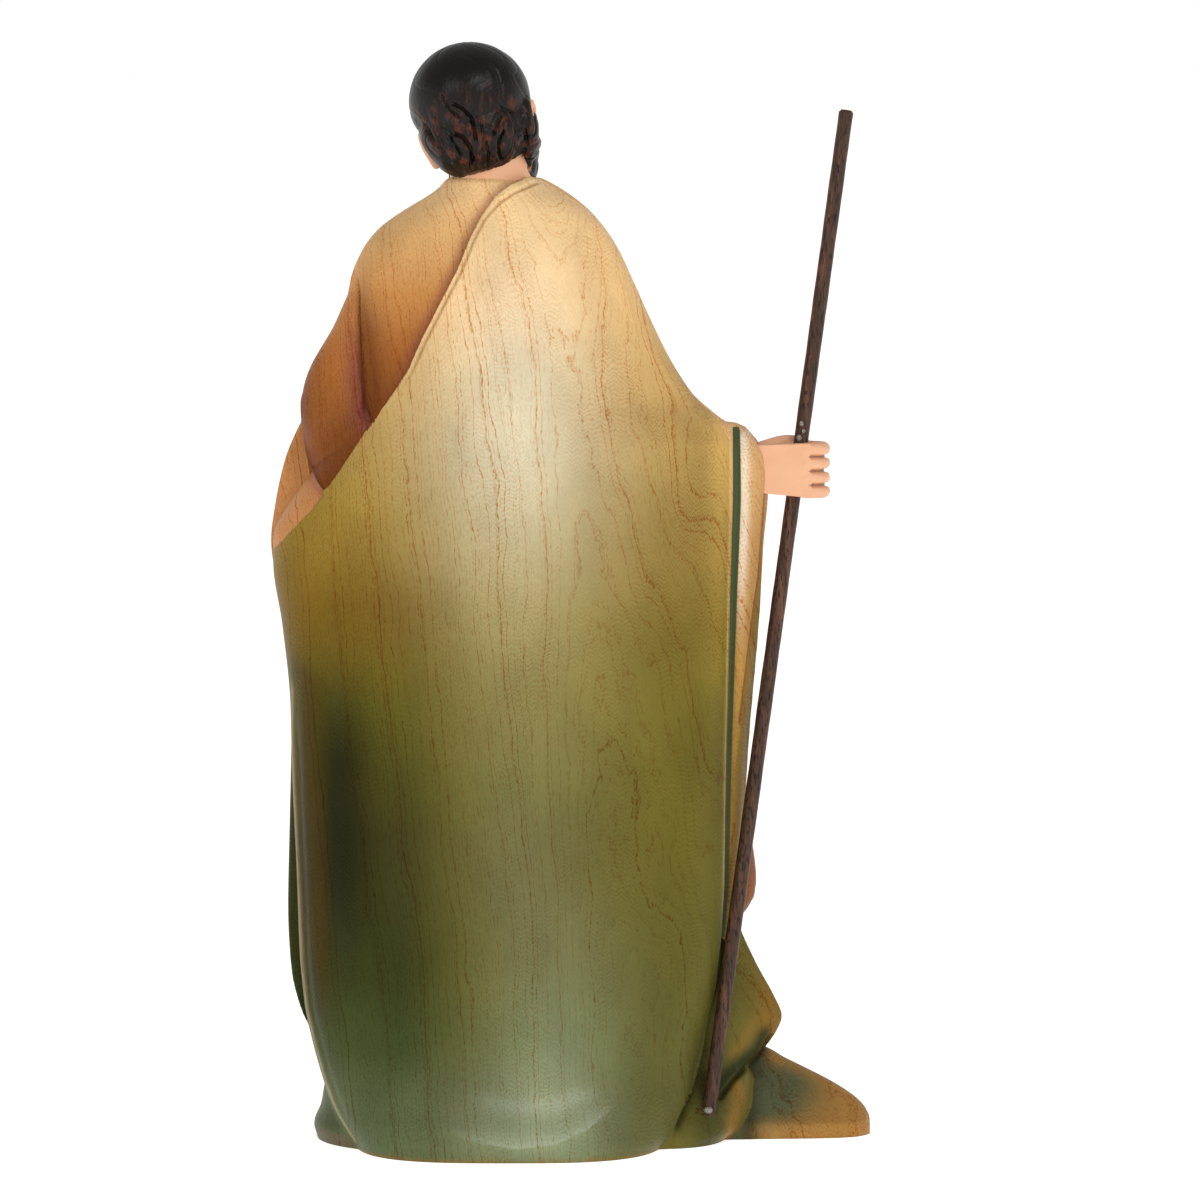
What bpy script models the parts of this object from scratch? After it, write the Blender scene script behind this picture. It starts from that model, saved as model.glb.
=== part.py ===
"""A carved wooden saint in a long mantle, turning his head to his right, with a staff in his right hand.

The figure is one carved piece and the staff is a rod that passes through its fist into a socket in its foot.
The figure faces -Y, its right hand is on the -X side, and the ground is the plane z = 0.
"""

import math

import bmesh
import bpy
import numpy as np
from mathutils import Euler, Matrix, Vector

# Driving sizes, in metres
FIGURE_HEIGHT = 0.220
STAFF_DIAMETER = 0.003
STAFF_LENGTH = 0.2050
STAFF_END_ROUNDING = 0.0003
STAFF_CLEARANCE = 0.0003
SOCKET_DEPTH = 0.0042

# The carving's proportions are counted in 220ths of the figure's height
UNIT = FIGURE_HEIGHT / 220
GROUND_SKIRT = 4.0

# How finely the carving is fused and then simplified
FUSE_STEP = 0.6 * UNIT
CARVED_TRIANGLES = 9000
RING_POINTS = 96
ROD_SIDES = 24

# The staff's line: where it enters the foot and where the fist holds it
STAFF_FOOT = Vector((-44.4, 13.0, 7.4))
STAFF_GRIP = Vector((-62.0, 1.0, 134.6))

# Turn and bow of the head, in degrees
HEAD_TURN = -22.0
HEAD_BOW = 8.0
HEAD_LEAN = 14.0
HEAD_CENTRE = Vector((2.2, -1.0, 204.7))
HEAD_SIZE = 0.97

WOOD_HONEY = (0.66, 0.42, 0.20)
ROD_BROWN = (0.11, 0.055, 0.035)


def clear_scene():
    for old in list(bpy.data.objects):
        bpy.data.objects.remove(old)


def eased(at, stops, values):
    """Values read along a curve that passes through every stop without overshooting."""
    stops, values = np.asarray(stops, float), np.asarray(values, float)
    step = np.diff(stops)
    rise = np.diff(values) / step
    slope = np.zeros(len(stops))
    slope[0], slope[-1] = rise[0], rise[-1]
    same_way = rise[:-1] * rise[1:] > 0
    near, far = rise[:-1][same_way], rise[1:][same_way]
    slope[1:-1][same_way] = 2 * near * far / (near + far)
    at = np.clip(at, stops[0], stops[-1])
    k = np.clip(np.searchsorted(stops, at, side="right") - 1, 0, len(step) - 1)
    t = (at - stops[k]) / step[k]
    return (
        (2 * t**3 - 3 * t**2 + 1) * values[k]
        + (t**3 - 2 * t**2 + t) * step[k] * slope[k]
        + (3 * t**2 - 2 * t**3) * values[k + 1]
        + (t**3 - t**2) * step[k] * slope[k + 1]
    )


def loft(rings):
    """A closed bmesh through rings of points, with a cap on each end ring."""
    made = bmesh.new()
    rows = [[made.verts.new(p) for p in ring] for ring in rings]
    for low, high in zip(rows, rows[1:]):
        for i in range(len(low)):
            j = (i + 1) % len(low)
            made.faces.new((low[i], low[j], high[j], high[i]))
    made.faces.new(rows[0][::-1])
    made.faces.new(rows[-1])
    bmesh.ops.recalc_face_normals(made, faces=made.faces)
    return made


def upright_mass(stations, levels=90):
    """A loft up the figure. A station is (height, left, right, back, front, tip, fullness, right fullness).

    left, right, back and front are how far the outline reaches from the axis, tip is how far back the ends of the
    outline sit, and a fullness of 2 is an ellipse, less is slacker and more is squarer.
    """
    table = np.array(stations, float)
    heights = np.linspace(table[0, 0], table[-1, 0], levels)
    read = [eased(heights, table[:, 0], table[:, column]) for column in range(1, 8)]
    turn = np.linspace(0, 2 * math.pi, RING_POINTS, endpoint=False)
    across, along = np.cos(turn), np.sin(turn)
    rings = []
    for k, height in enumerate(heights):
        left, right, back, front, tip, full, full_right = (column[k] for column in read)
        middle = (left + right) / 2
        half = (left - right) / 2
        blend = 0.5 + 0.5 * across
        power = 2 / (full * blend + full_right * (1 - blend))
        x = np.sign(across) * np.abs(across) ** power
        y = np.sign(along) * np.abs(along) ** power
        y = np.where(along > 0, back * y, -front * y) + tip * x * x
        rings.append(np.stack([middle + half * x, y, np.full(RING_POINTS, height)], 1))
    return loft(rings)


def smooth_path(points, count):
    """Points and radii read along a smooth curve through (x, y, z, radius) rows."""
    rows = np.array(points, float)
    run = np.concatenate([[0], np.cumsum(np.linalg.norm(np.diff(rows[:, :3], axis=0), axis=1))])
    ends = np.vstack([2 * rows[0] - rows[1], rows, 2 * rows[-1] - rows[-2]])
    at = np.linspace(0, run[-1], count)
    k = np.clip(np.searchsorted(run, at, side="right") - 1, 0, len(rows) - 2)
    t = ((at - run[k]) / (run[k + 1] - run[k]))[:, None]
    a, b, c, d = ends[k], ends[k + 1], ends[k + 2], ends[k + 3]
    return 0.5 * (2 * b + (c - a) * t + (2 * a - 5 * b + 4 * c - d) * t**2 + (3 * b - a - 3 * c + d) * t**3)


def limb(points, count=24, sides=24, flat=1.0):
    """A tube with round ends along (x, y, z, radius) rows. flat below 1 squeezes it along its second side."""
    spine = smooth_path(points, count)
    centres, radii = spine[:, :3], spine[:, 3]
    heading = np.gradient(centres, axis=0)
    heading /= np.linalg.norm(heading, axis=1)[:, None]
    side = np.cross(heading[0], (0.0, 0.0, 1.0))
    if np.linalg.norm(side) < 0.2:
        side = np.cross(heading[0], (0.0, 1.0, 0.0))
    turn = np.linspace(0, 2 * math.pi, sides, endpoint=False)
    rings = []
    rounding = np.array([0.15, 0.5, 0.8, 0.95])
    for k in range(count):
        side = side - heading[k] * np.dot(side, heading[k])
        side /= np.linalg.norm(side)
        up = np.cross(heading[k], side)
        circle = np.cos(turn)[:, None] * up + flat * np.sin(turn)[:, None] * side
        if k == 0:
            rings += [
                centres[0] - heading[0] * radii[0] * math.sqrt(1 - r * r) + circle * radii[0] * r
                for r in rounding
            ]
        rings.append(centres[k] + circle * radii[k])
        if k == count - 1:
            rings += [
                centres[k] + heading[k] * radii[k] * math.sqrt(1 - r * r) + circle * radii[k] * r
                for r in rounding[::-1]
            ]
    return loft(rings)


def egg(centre, radii, turn=(0.0, 0.0, 0.0)):
    """An ellipsoid, its radii along its own axes, turned by degrees about x, y and z."""
    made = bmesh.new()
    spin = Euler([math.radians(a) for a in turn]).to_matrix().to_4x4()
    scale = Matrix.Diagonal((*radii, 1.0))
    bmesh.ops.create_uvsphere(made, u_segments=32, v_segments=20, radius=1.0)
    made.transform(Matrix.Translation(centre) @ spin @ scale)
    return made


def joined(parts):
    """One bmesh that holds every part."""
    whole = bmesh.new()
    for part in parts:
        held = bpy.data.meshes.new("held")
        part.to_mesh(held)
        part.free()
        whole.from_mesh(held)
        bpy.data.meshes.remove(held)
    return whole


def object_of(name, shape):
    mesh = bpy.data.meshes.new(name)
    shape.to_mesh(mesh)
    shape.free()
    made = bpy.data.objects.new(name, mesh)
    bpy.context.scene.collection.objects.link(made)
    return made


def settle(made):
    """Applies the object's modifiers to its mesh."""
    bpy.context.view_layer.update()
    seen = made.evaluated_get(bpy.context.evaluated_depsgraph_get())
    mesh = bpy.data.meshes.new_from_object(seen)
    made.modifiers.clear()
    made.data = mesh


def fused(made, step, passes):
    """The object's overlapping shapes become one skin, eased by a few smoothing passes."""
    remesh = made.modifiers.new("fuse", "REMESH")
    remesh.mode = "VOXEL"
    remesh.voxel_size = step
    eased_skin(made, passes)


def eased_skin(made, passes):
    ease = made.modifiers.new("ease", "SMOOTH")
    ease.factor = 0.5
    ease.iterations = passes
    settle(made)


def cut(made, cutter, name):
    cutter.hide_render = True
    cutter.display_type = "WIRE"
    modifier = made.modifiers.new(name, "BOOLEAN")
    modifier.operation = "DIFFERENCE"
    modifier.object = cutter


# The mantle's edge across the back, from the neck down to the left elbow: (x, height)
MANTLE_EDGE = (
    (-16.0, 195.0), (-8.8, 192.4), (-4.4, 190.6), (-1.4, 188.4), (1.6, 184.6), (4.1, 180.4), (6.6, 174.6),
    (10.0, 168.0), (13.6, 160.7), (16.0, 155.2), (20.5, 148.2), (24.0, 143.3), (27.5, 137.8), (31.5, 131.8),
    (35.4, 126.8), (42.4, 119.9), (50.0, 113.0),
)

# Stations: height, left, right, back, front, tip, fullness, right fullness
BACK = (
    (-GROUND_SKIRT, 25.6, -34.6, 38.6, -8.0, 3.0, 2.8, 2.7),
    (0.0, 26.2, -35.0, 39.2, -8.0, 3.0, 2.8, 2.7),
    (2.5, 28.0, -37.4, 39.4, -9.0, 3.0, 2.7, 2.6),
    (5.5, 30.0, -38.8, 38.4, -10.0, 3.0, 2.6, 2.4),
    (9.0, 31.6, -40.4, 35.8, -11.0, 4.0, 2.4, 2.2),
    (14.0, 33.2, -41.6, 32.6, -12.0, 5.0, 2.3, 2.0),
    (20.0, 34.8, -42.8, 30.8, -12.0, 6.0, 2.3, 1.9),
    (28.0, 36.4, -44.8, 30.2, -12.0, 7.0, 2.3, 1.8),
    (40.0, 37.4, -46.6, 30.4, -12.0, 8.0, 2.2, 1.75),
    (56.0, 37.9, -47.4, 31.0, -12.0, 8.0, 2.2, 1.7),
    (72.0, 38.6, -47.6, 31.4, -12.0, 8.0, 2.2, 1.7),
    (88.0, 39.0, -47.9, 31.2, -12.0, 8.0, 2.2, 1.65),
    (104.0, 40.6, -48.1, 30.2, -12.0, 8.0, 2.2, 1.6),
    (116.0, 42.4, -48.5, 29.2, -13.0, 8.0, 2.2, 1.6),
    (121.0, 42.4, -48.9, 28.8, -13.0, 7.5, 2.2, 1.6),
    (127.0, 39.8, -49.2, 28.2, -13.0, 6.5, 2.2, 1.6),
    (132.0, 36.6, -49.4, 27.6, -13.0, 6.0, 2.2, 1.6),
    (139.0, 31.6, -49.8, 26.6, -13.0, 5.0, 2.2, 1.6),
    (144.0, 29.2, -46.4, 25.8, -13.0, 3.5, 2.2, 1.65),
    (148.0, 28.2, -42.2, 25.2, -13.0, 2.0, 2.2, 1.7),
    (156.0, 28.2, -36.8, 24.0, -13.0, 1.0, 2.2, 1.8),
    (164.0, 28.2, -32.8, 22.6, -13.0, 0.0, 2.1, 1.9),
    (172.0, 27.2, -29.2, 20.8, -12.0, 0.0, 2.1, 2.0),
    (178.0, 24.8, -26.4, 18.8, -11.0, 0.0, 2.1, 2.1),
    (182.0, 21.8, -23.8, 16.8, -10.0, 0.0, 2.0, 2.1),
    (186.0, 16.4, -19.8, 14.2, -8.0, 0.0, 2.0, 2.1),
    (188.6, 12.0, -15.8, 12.2, -6.0, 0.0, 2.0, 2.1),
    (190.6, 9.2, -12.6, 10.4, -5.0, 0.0, 2.0, 2.0),
    (192.2, 7.4, -10.0, 9.2, -4.0, 0.0, 2.0, 2.0),
    (193.2, 5.4, -8.0, 7.0, -2.0, 0.0, 2.0, 2.0),
)

TUNIC = (
    (-GROUND_SKIRT, 34.0, -34.0, 27.0, -34.5, -3.0, 2.4, 2.2),
    (0.0, 34.2, -34.0, 27.4, -34.6, -3.0, 2.4, 2.2),
    (2.6, 35.0, -34.0, 27.4, -34.6, -3.0, 2.4, 2.2),
    (6.0, 33.6, -33.4, 25.0, -34.0, -4.0, 2.4, 2.2),
    (10.6, 32.8, -33.0, 20.0, -33.0, -4.0, 2.3, 2.2),
    (18.0, 31.0, -32.0, 16.0, -31.8, -3.0, 2.3, 2.1),
    (30.0, 29.0, -31.0, 14.0, -30.4, -2.0, 2.3, 2.1),
    (50.0, 26.5, -29.5, 16.0, -28.6, 0.0, 2.2, 2.1),
    (75.0, 24.5, -28.0, 18.0, -26.2, 0.0, 2.2, 2.1),
    (100.0, 23.0, -26.0, 20.0, -23.2, 0.0, 2.2, 2.1),
    (116.0, 21.0, -24.0, 21.5, -20.4, 0.0, 2.2, 2.1),
    (124.0, 20.4, -23.0, 22.4, -19.4, 0.0, 2.2, 2.1),
    (136.0, 21.0, -23.0, 23.4, -20.6, 0.0, 2.2, 2.1),
    (150.0, 22.4, -23.6, 23.4, -21.6, 0.0, 2.2, 2.1),
    (162.0, 23.4, -24.0, 22.0, -21.0, 0.0, 2.2, 2.1),
    (170.0, 24.0, -24.0, 20.4, -19.4, 0.0, 2.1, 2.1),
    (177.0, 23.0, -23.0, 18.4, -17.0, 0.0, 2.1, 2.1),
    (183.0, 19.6, -19.6, 14.6, -14.0, 0.0, 2.0, 2.0),
    (187.0, 14.6, -15.6, 12.0, -11.6, 0.0, 2.0, 2.0),
    (190.0, 9.8, -12.0, 9.6, -9.6, 0.0, 2.0, 2.0),
    (192.0, 8.2, -9.6, 8.2, -8.2, 0.0, 2.0, 2.0),
    (193.0, 6.4, -8.0, 6.4, -6.6, 0.0, 2.0, 2.0),
)

# The mantle's front fall, from the right shoulder over the forearm to the ground
FRONT_FALL = (
    (-GROUND_SKIRT, -14.0, -44.0, -8.0, -30.0, 2.0, 2.2, 2.0),
    (0.0, -14.0, -44.0, -8.0, -30.6, 2.0, 2.2, 2.0),
    (10.0, -15.0, -46.0, -6.0, -30.0, 2.0, 2.2, 2.0),
    (26.0, -16.0, -48.4, -4.0, -29.4, 2.4, 2.2, 1.9),
    (44.0, -17.0, -50.4, -2.0, -28.6, 3.0, 2.2, 1.9),
    (60.0, -18.0, -51.2, -1.0, -27.4, 3.0, 2.2, 1.9),
    (80.0, -18.4, -52.4, 0.0, -25.6, 3.4, 2.2, 1.9),
    (104.0, -18.0, -54.4, 1.0, -23.0, 4.0, 2.2, 1.9),
    (120.0, -17.0, -55.3, 2.0, -21.6, 4.4, 2.2, 2.0),
    (130.0, -16.0, -56.0, 3.0, -21.0, 4.4, 2.2, 2.3),
    (137.0, -15.0, -55.8, 3.6, -21.0, 4.0, 2.2, 2.3),
    (141.0, -14.6, -52.6, 4.0, -21.4, 4.0, 2.2, 2.2),
    (144.0, -14.4, -47.4, 4.0, -21.8, 3.0, 2.2, 2.1),
    (152.0, -13.4, -38.8, 4.0, -22.4, 2.0, 2.2, 2.1),
    (162.0, -12.0, -33.6, 3.0, -22.0, 1.0, 2.2, 2.1),
    (172.0, -10.0, -29.0, 2.0, -19.6, 0.0, 2.1, 2.1),
    (180.0, -8.0, -25.2, 1.0, -16.4, 0.0, 2.1, 2.1),
    (186.0, -7.0, -20.4, 1.0, -13.0, 0.0, 2.0, 2.0),
    (190.4, -6.6, -14.6, 1.0, -9.6, 0.0, 2.0, 2.0),
    (192.4, -7.0, -10.8, 0.0, -6.0, 0.0, 2.0, 2.0),
)

# The mantle's end that hangs over the left forearm
ARM_DRAPE = (
    (16.0, 32.0, 20.0, -9.0, -19.0, 0.0, 2.2, 2.0),
    (20.0, 34.6, 17.0, -5.0, -24.0, 0.0, 2.2, 2.0),
    (26.0, 37.6, 15.0, -2.0, -27.4, 0.0, 2.2, 2.0),
    (34.0, 39.4, 14.0, 0.0, -29.0, 0.0, 2.3, 2.0),
    (46.0, 40.0, 13.4, 2.0, -29.6, 0.0, 2.3, 2.0),
    (64.0, 39.6, 13.4, 4.0, -29.2, 0.0, 2.3, 2.0),
    (84.0, 39.2, 13.6, 6.0, -28.6, 0.0, 2.3, 2.0),
    (100.0, 40.4, 14.0, 6.0, -28.2, 0.0, 2.3, 2.0),
    (112.0, 42.2, 14.4, 5.0, -28.0, 0.0, 2.3, 2.0),
    (120.0, 43.2, 14.6, 4.0, -28.0, 0.0, 2.2, 2.0),
    (128.0, 42.2, 14.6, 3.0, -28.2, 0.0, 2.2, 2.0),
    (136.0, 40.4, 14.6, 1.0, -28.0, 0.0, 2.2, 2.0),
    (142.0, 38.0, 15.4, -1.0, -26.8, 0.0, 2.1, 2.0),
    (146.0, 35.6, 17.4, -3.0, -24.6, 0.0, 2.1, 2.0),
    (149.0, 32.0, 20.4, -6.0, -21.0, 0.0, 2.0, 2.0),
    (150.4, 28.6, 23.6, -10.0, -16.6, 0.0, 2.0, 2.0),
)

# The fold that stands out under the right hand, with its corner pointing to the side
CORNER_FOLD = (
    (8.0, -30.0, -46.0, 6.0, -18.0, 0.0, 2.0, 1.7),
    (11.0, -30.0, -49.0, 6.4, -19.0, 0.0, 2.0, 1.6),
    (15.0, -30.0, -53.4, 6.8, -20.0, 0.0, 2.0, 1.5),
    (20.0, -30.0, -57.4, 6.8, -20.0, 0.0, 2.0, 1.4),
    (24.4, -30.0, -59.2, 6.4, -19.0, 0.0, 2.0, 1.35),
    (28.0, -30.0, -57.8, 5.6, -18.0, 0.0, 2.0, 1.4),
    (35.0, -30.0, -54.0, 4.2, -16.0, 0.0, 2.0, 1.5),
    (42.0, -30.0, -50.8, 2.8, -14.0, 0.0, 2.0, 1.6),
    (50.0, -30.0, -48.0, 1.0, -12.0, 0.0, 2.0, 1.7),
)

# The low block that takes the staff's foot
FOOT_BLOCK = (
    (-GROUND_SKIRT, -20.0, -47.0, 18.4, -24.0, -2.0, 2.5, 2.4),
    (0.0, -20.0, -48.0, 19.0, -24.0, -2.0, 2.5, 2.4),
    (2.0, -20.0, -50.6, 19.2, -24.0, -2.0, 2.5, 2.4),
    (4.4, -20.0, -52.2, 18.0, -23.0, -2.0, 2.4, 2.3),
    (7.6, -20.0, -53.2, 15.0, -22.0, -2.0, 2.3, 2.2),
    (11.4, -20.0, -53.2, 10.6, -21.0, -1.0, 2.2, 2.1),
    (14.6, -20.0, -51.6, 7.2, -19.0, 0.0, 2.1, 1.9),
    (18.0, -20.0, -48.0, 3.0, -16.0, 0.0, 2.0, 1.8),
)

# The mantle's tail on the ground, in sections along -x: (x, near side, far side, crest, crest height)
TAIL = (
    (-40.0, 5.0, -25.0, -9.0, 17.6),
    (-50.0, 5.0, -24.0, -9.0, 17.6),
    (-55.4, 4.4, -22.0, -9.0, 17.2),
    (-60.0, 4.0, -20.0, -9.0, 14.8),
    (-65.0, 3.6, -18.0, -8.6, 12.4),
    (-70.0, 2.8, -16.0, -8.0, 9.8),
    (-74.0, 1.0, -13.4, -7.4, 7.2),
    (-76.2, -1.8, -10.6, -6.6, 5.0),
    (-77.0, -4.0, -8.4, -6.2, 3.4),
)
TAIL_LIP = 3.0


def mantle_tail():
    """A tongue of cloth on the ground: a rounded crest that runs down to a low upright lip on each side."""
    table = np.array(TAIL, float)
    at = np.linspace(table[0, 0], table[-1, 0], 40)
    read = [eased(-at, -table[:, 0], table[:, column]) for column in range(1, 5)]
    share = np.linspace(0, 1, 14)
    rings = []
    for k, x in enumerate(at):
        near, far, crest, height = (column[k] for column in read)
        lip = min(TAIL_LIP, 0.6 * height)
        slope = np.cos(share * math.pi / 2) ** 1.25
        near_side = [(x, crest + (near - crest) * s, lip + (height - lip) * c) for s, c in zip(share, slope)]
        far_side = [(x, crest + (far - crest) * s, lip + (height - lip) * c) for s, c in zip(share, slope)]
        ground = [(x, far, -GROUND_SKIRT), (x, near, -GROUND_SKIRT)]
        rings.append(near_side[::-1] + far_side[1:] + ground)
    return loft(rings)


def left_arm():
    """The left sleeve, from the shoulder back to the elbow and forward to the wrist."""
    upper = [
        (12.6, 0.5, 176.0, 9.0), (17.6, 2.0, 168.0, 9.6), (21.4, 4.0, 159.0, 9.9),
        (25.4, 5.0, 149.0, 11.2), (27.0, 3.6, 141.0, 9.6), (29.0, 1.0, 133.0, 6.4), (30.4, -1.0, 128.0, 4.4),
    ]
    fore = [(27.0, 3.0, 144.0, 9.4), (25.0, -8.0, 143.0, 8.8), (18.0, -19.0, 145.0, 7.4), (10.4, -24.6, 148.6, 5.8)]
    return [limb(upper, 30), limb(fore, 24)]


def left_hand():
    """The left hand laid flat on the chest, its fingers towards the heart's other side."""
    palm = limb([(10.4, -24.6, 149.0, 3.4), (6.0, -26.0, 151.0, 4.4), (2.4, -25.4, 152.6, 4.2)], 10, 20, 0.62)
    fingers = []
    for k in range(4):
        drop = 2.2 * (1.5 - k)
        reach = (9.2, 10.4, 9.8, 8.0)[k]
        fingers.append(
            limb(
                [
                    (2.6, -25.6, 152.4 + drop, 1.25),
                    (2.6 - reach * 0.5, -25.4, 153.6 + drop * 1.05, 1.2),
                    (2.6 - reach, -24.0, 154.4 + drop * 1.1, 0.95),
                ],
                10,
                12,
            )
        )
    thumb = limb([(6.4, -26.0, 153.6, 1.6), (4.4, -26.4, 157.4, 1.35), (1.8, -25.8, 160.0, 1.0)], 10, 12)
    return [palm, *fingers, thumb]


def staff_direction():
    return (STAFF_GRIP - STAFF_FOOT).normalized()


def right_hand():
    """The right fist, its back to the rear, with four fingers and the thumb round the staff."""
    rod = STAFF_DIAMETER / 2 / UNIT
    finger = 1.35
    wrap = rod + finger + 0.1
    back = STAFF_GRIP.y + rod + 2.4
    palm = limb(
        [(-50.0, back - 1.0, 134.2, 5.2), (-56.0, back - 1.2, 134.2, 5.3), (-60.0, back, 134.2, 5.5), (-64.0, back - 0.4, 134.2, 4.9)],
        16,
        24,
        0.5,
    )
    fingers = []
    slant = (STAFF_GRIP.x - STAFF_FOOT.x) / (STAFF_GRIP.z - STAFF_FOOT.z)
    for k, height in enumerate((138.0, 135.4, 132.9, 130.4)):
        middle = STAFF_GRIP.x + slant * (height - STAFF_GRIP.z)
        reach = (-0.7, 0.0, -0.3, -0.8)[k]
        size = (1.0, 1.0, 0.97, 0.88)[k] * finger
        fingers.append(
            limb(
                [
                    (middle - 1.6, back - 0.6, height, size),
                    (middle - wrap - 1.4 - reach, STAFF_GRIP.y + 1.0, height, size),
                    (middle - wrap - 0.4 - reach, STAFF_GRIP.y - 2.0, height + 0.1, size),
                    (middle - 0.6, STAFF_GRIP.y - wrap - 0.1, height + 0.2, size * 0.96),
                    (middle + 2.0, STAFF_GRIP.y - wrap + 0.7, height + 0.2, size * 0.85),
                ],
                18,
                14,
            )
        )
    thumb = limb(
        [
            (-56.6, STAFF_GRIP.y + 0.4, 137.6, 2.5),
            (-58.4, STAFF_GRIP.y - 2.4, 139.6, 1.9),
            (-61.2, STAFF_GRIP.y - 4.3, 139.8, 1.55),
            (-64.0, STAFF_GRIP.y - 4.8, 138.8, 1.25),
        ],
        14,
        14,
    )
    return [palm, *fingers, thumb]


def head_place():
    """The matrix that carries the head from its own axes, face to -Y, to its turned and bowed place."""
    turn = Matrix.Rotation(math.radians(HEAD_TURN), 4, "Z")
    bow = Matrix.Rotation(math.radians(HEAD_BOW), 4, "X")
    lean = Matrix.Rotation(math.radians(HEAD_LEAN), 4, "Y")
    return Matrix.Translation(HEAD_CENTRE) @ turn @ bow @ lean @ Matrix.Scale(HEAD_SIZE, 4)


def push(points, centre, reach, way):
    """Points near the centre moved by way, less and less towards the reach."""
    away = ((points - np.array(centre)) / np.array(reach)) ** 2
    return points + np.exp(-away.sum(1))[:, None] * np.array(way)


def head_masses():
    """The head's overlapping masses in its own axes: face to -y, crown to +z, chin at about -14."""
    shapes = [
        egg((0, 1.6, 3.0), (10.8, 12.2, 11.2)),
        egg((0, -4.2, -3.2), (8.2, 8.0, 10.8)),
        egg((0, 1.8, 2.8), (12.1, 12.9, 11.8)),
        egg((0, 3.6, -4.6), (11.2, 9.4, 8.6)),
        egg((0, -8.0, -11.6), (6.4, 5.2, 6.4)),
        egg((0, -9.6, -15.8), (4.0, 3.4, 4.6), (8, 0, 0)),
        limb([(0, -11.2, 2.2, 1.5), (0, -12.6, -1.4, 1.35), (0, -14.0, -4.0, 1.7)], 12, 16),
    ]
    for side in (-1, 1):
        shapes += [
            egg((side * 11.1, -1.4, -4.0), (1.4, 2.7, 4.2), (-12, side * 8, 0)),
            egg((side * 4.7, -8.0, -2.9), (3.3, 3.2, 2.9)),
            egg((side * 6.9, -4.4, -9.0), (2.8, 4.2, 6.2)),
            egg((side * 1.3, -13.4, -4.9), (1.0, 1.3, 0.9)),
            egg((side * 3.5, -10.2, -0.6), (1.7, 1.3, 1.3)),
            limb([(side * 0.6, -13.4, -6.8, 0.9), (side * 2.8, -12.9, -7.8, 1.1), (side * 5.2, -11.2, -10.4, 0.9)], 12, 14),
            limb([(side * 0.9, -12.0, 1.9, 0.8), (side * 3.4, -11.5, 2.5, 0.95), (side * 6.2, -9.3, 1.4, 0.8)], 12, 14),
        ]
    return joined(shapes)


def face_pushes(points):
    """Eye sockets, temples, the hollow under the cheeks, and the mouth."""
    for side in (-1, 1):
        points = push(points, (side * 3.3, -11.6, 0.4), (2.0, 2.5, 1.5), (0, 1.1, 0))
        points = push(points, (side * 8.4, -6.0, 2.6), (2.4, 4.0, 4.0), (-side * 0.6, 0.3, 0))
        points = push(points, (side * 5.2, -9.6, -7.0), (2.0, 3.0, 2.2), (-side * 0.3, 0.6, 0))
    points = push(points, (0, -13.2, -8.3), (2.4, 2.0, 0.6), (0, 0.6, 0))
    points = push(points, (0, -13.2, -9.3), (1.8, 2.0, 0.6), (0, -0.4, 0))
    return points


def hair_share(x, y, z):
    """1 where the head is covered by hair, 0 on the face, in the head's own axes."""
    brow = 6.6 - 0.035 * x * x
    line = np.where(z > brow, 0.0, np.clip((brow - z) * 1.1, 0, 6.0))
    return step_up(y + 9.0 - line - 0.9 * np.clip(z - brow, 0, 3), -0.6, 0.6) * step_up(z, -14.0, -12.4)


def beard_share(x, y, z):
    """1 on the beard and the moustache, in the head's own axes."""
    cheek = -5.6 - 0.05 * (np.abs(x) - 2.0) ** 2 + 0.9 * np.clip(np.abs(x) - 5.6, 0, 5)
    lips = np.exp(-((x / 2.6) ** 4) - (((z + 8.6) / 1.0) ** 4))
    return step_up(cheek - z, -0.5, 0.5) * step_up(-y, -1.0, 1.0) * (1 - lips)


def locks(x, y, z):
    """Waving locks: long round ridges parted by narrow grooves, in the head's own axes."""
    round_head = np.arctan2(x, y + 0.001) * 11.0
    wave = 1.9 * np.sin(0.42 * z + 0.16 * round_head) + 0.9 * np.sin(0.9 * z - 0.4 * round_head)
    ridge = np.abs(np.sin((round_head + wave) * 0.72))
    return ridge**0.6 - 0.75


def head():
    """The head in its own axes, with its face, beard and hair, then bowed, leant and turned into place."""
    made = object_of("head", head_masses())
    fused(made, 0.42, 6)
    mesh = made.data
    points = np.empty(len(mesh.vertices) * 3, np.float32)
    mesh.vertices.foreach_get("co", points)
    points = face_pushes(points.reshape(-1, 3))
    mesh.vertices.foreach_set("co", points.astype(np.float32).ravel())
    mesh.update()
    sculpt(made, head_relief, 1.0)
    shape = bmesh.new()
    shape.from_mesh(made.data)
    bpy.data.objects.remove(made)
    shape.transform(head_place())
    return shape


def head_relief(points, normals):
    """The hair and beard stand a little over the skin and are cut into locks, finer and deeper towards the nape."""
    x, y, z = points.T
    hair = hair_share(x, y, z)
    beard = beard_share(x, y, z) * (1 - hair)
    low = step_up(-z, -5.0, 3.0)
    return hair * (0.35 + (0.12 + 0.5 * low) * locks(x, y, z)) + beard * (0.3 + 0.45 * locks(x, y, z))


def neck():
    return limb([(-1.0, 0.0, 184.0, 8.8), (-1.0, -0.4, 192.0, 8.2), (0.4, -0.8, 200.0, 8.0)], 10)


def sleeve_drop():
    """The rounded end of the right sleeve that shows below the front fall."""
    return limb([(-46.0, -6.0, 74.0, 4.0), (-47.4, -5.4, 60.0, 5.6), (-48.2, -5.0, 50.0, 5.8), (-46.6, -5.4, 46.0, 4.6)], 16)


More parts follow.
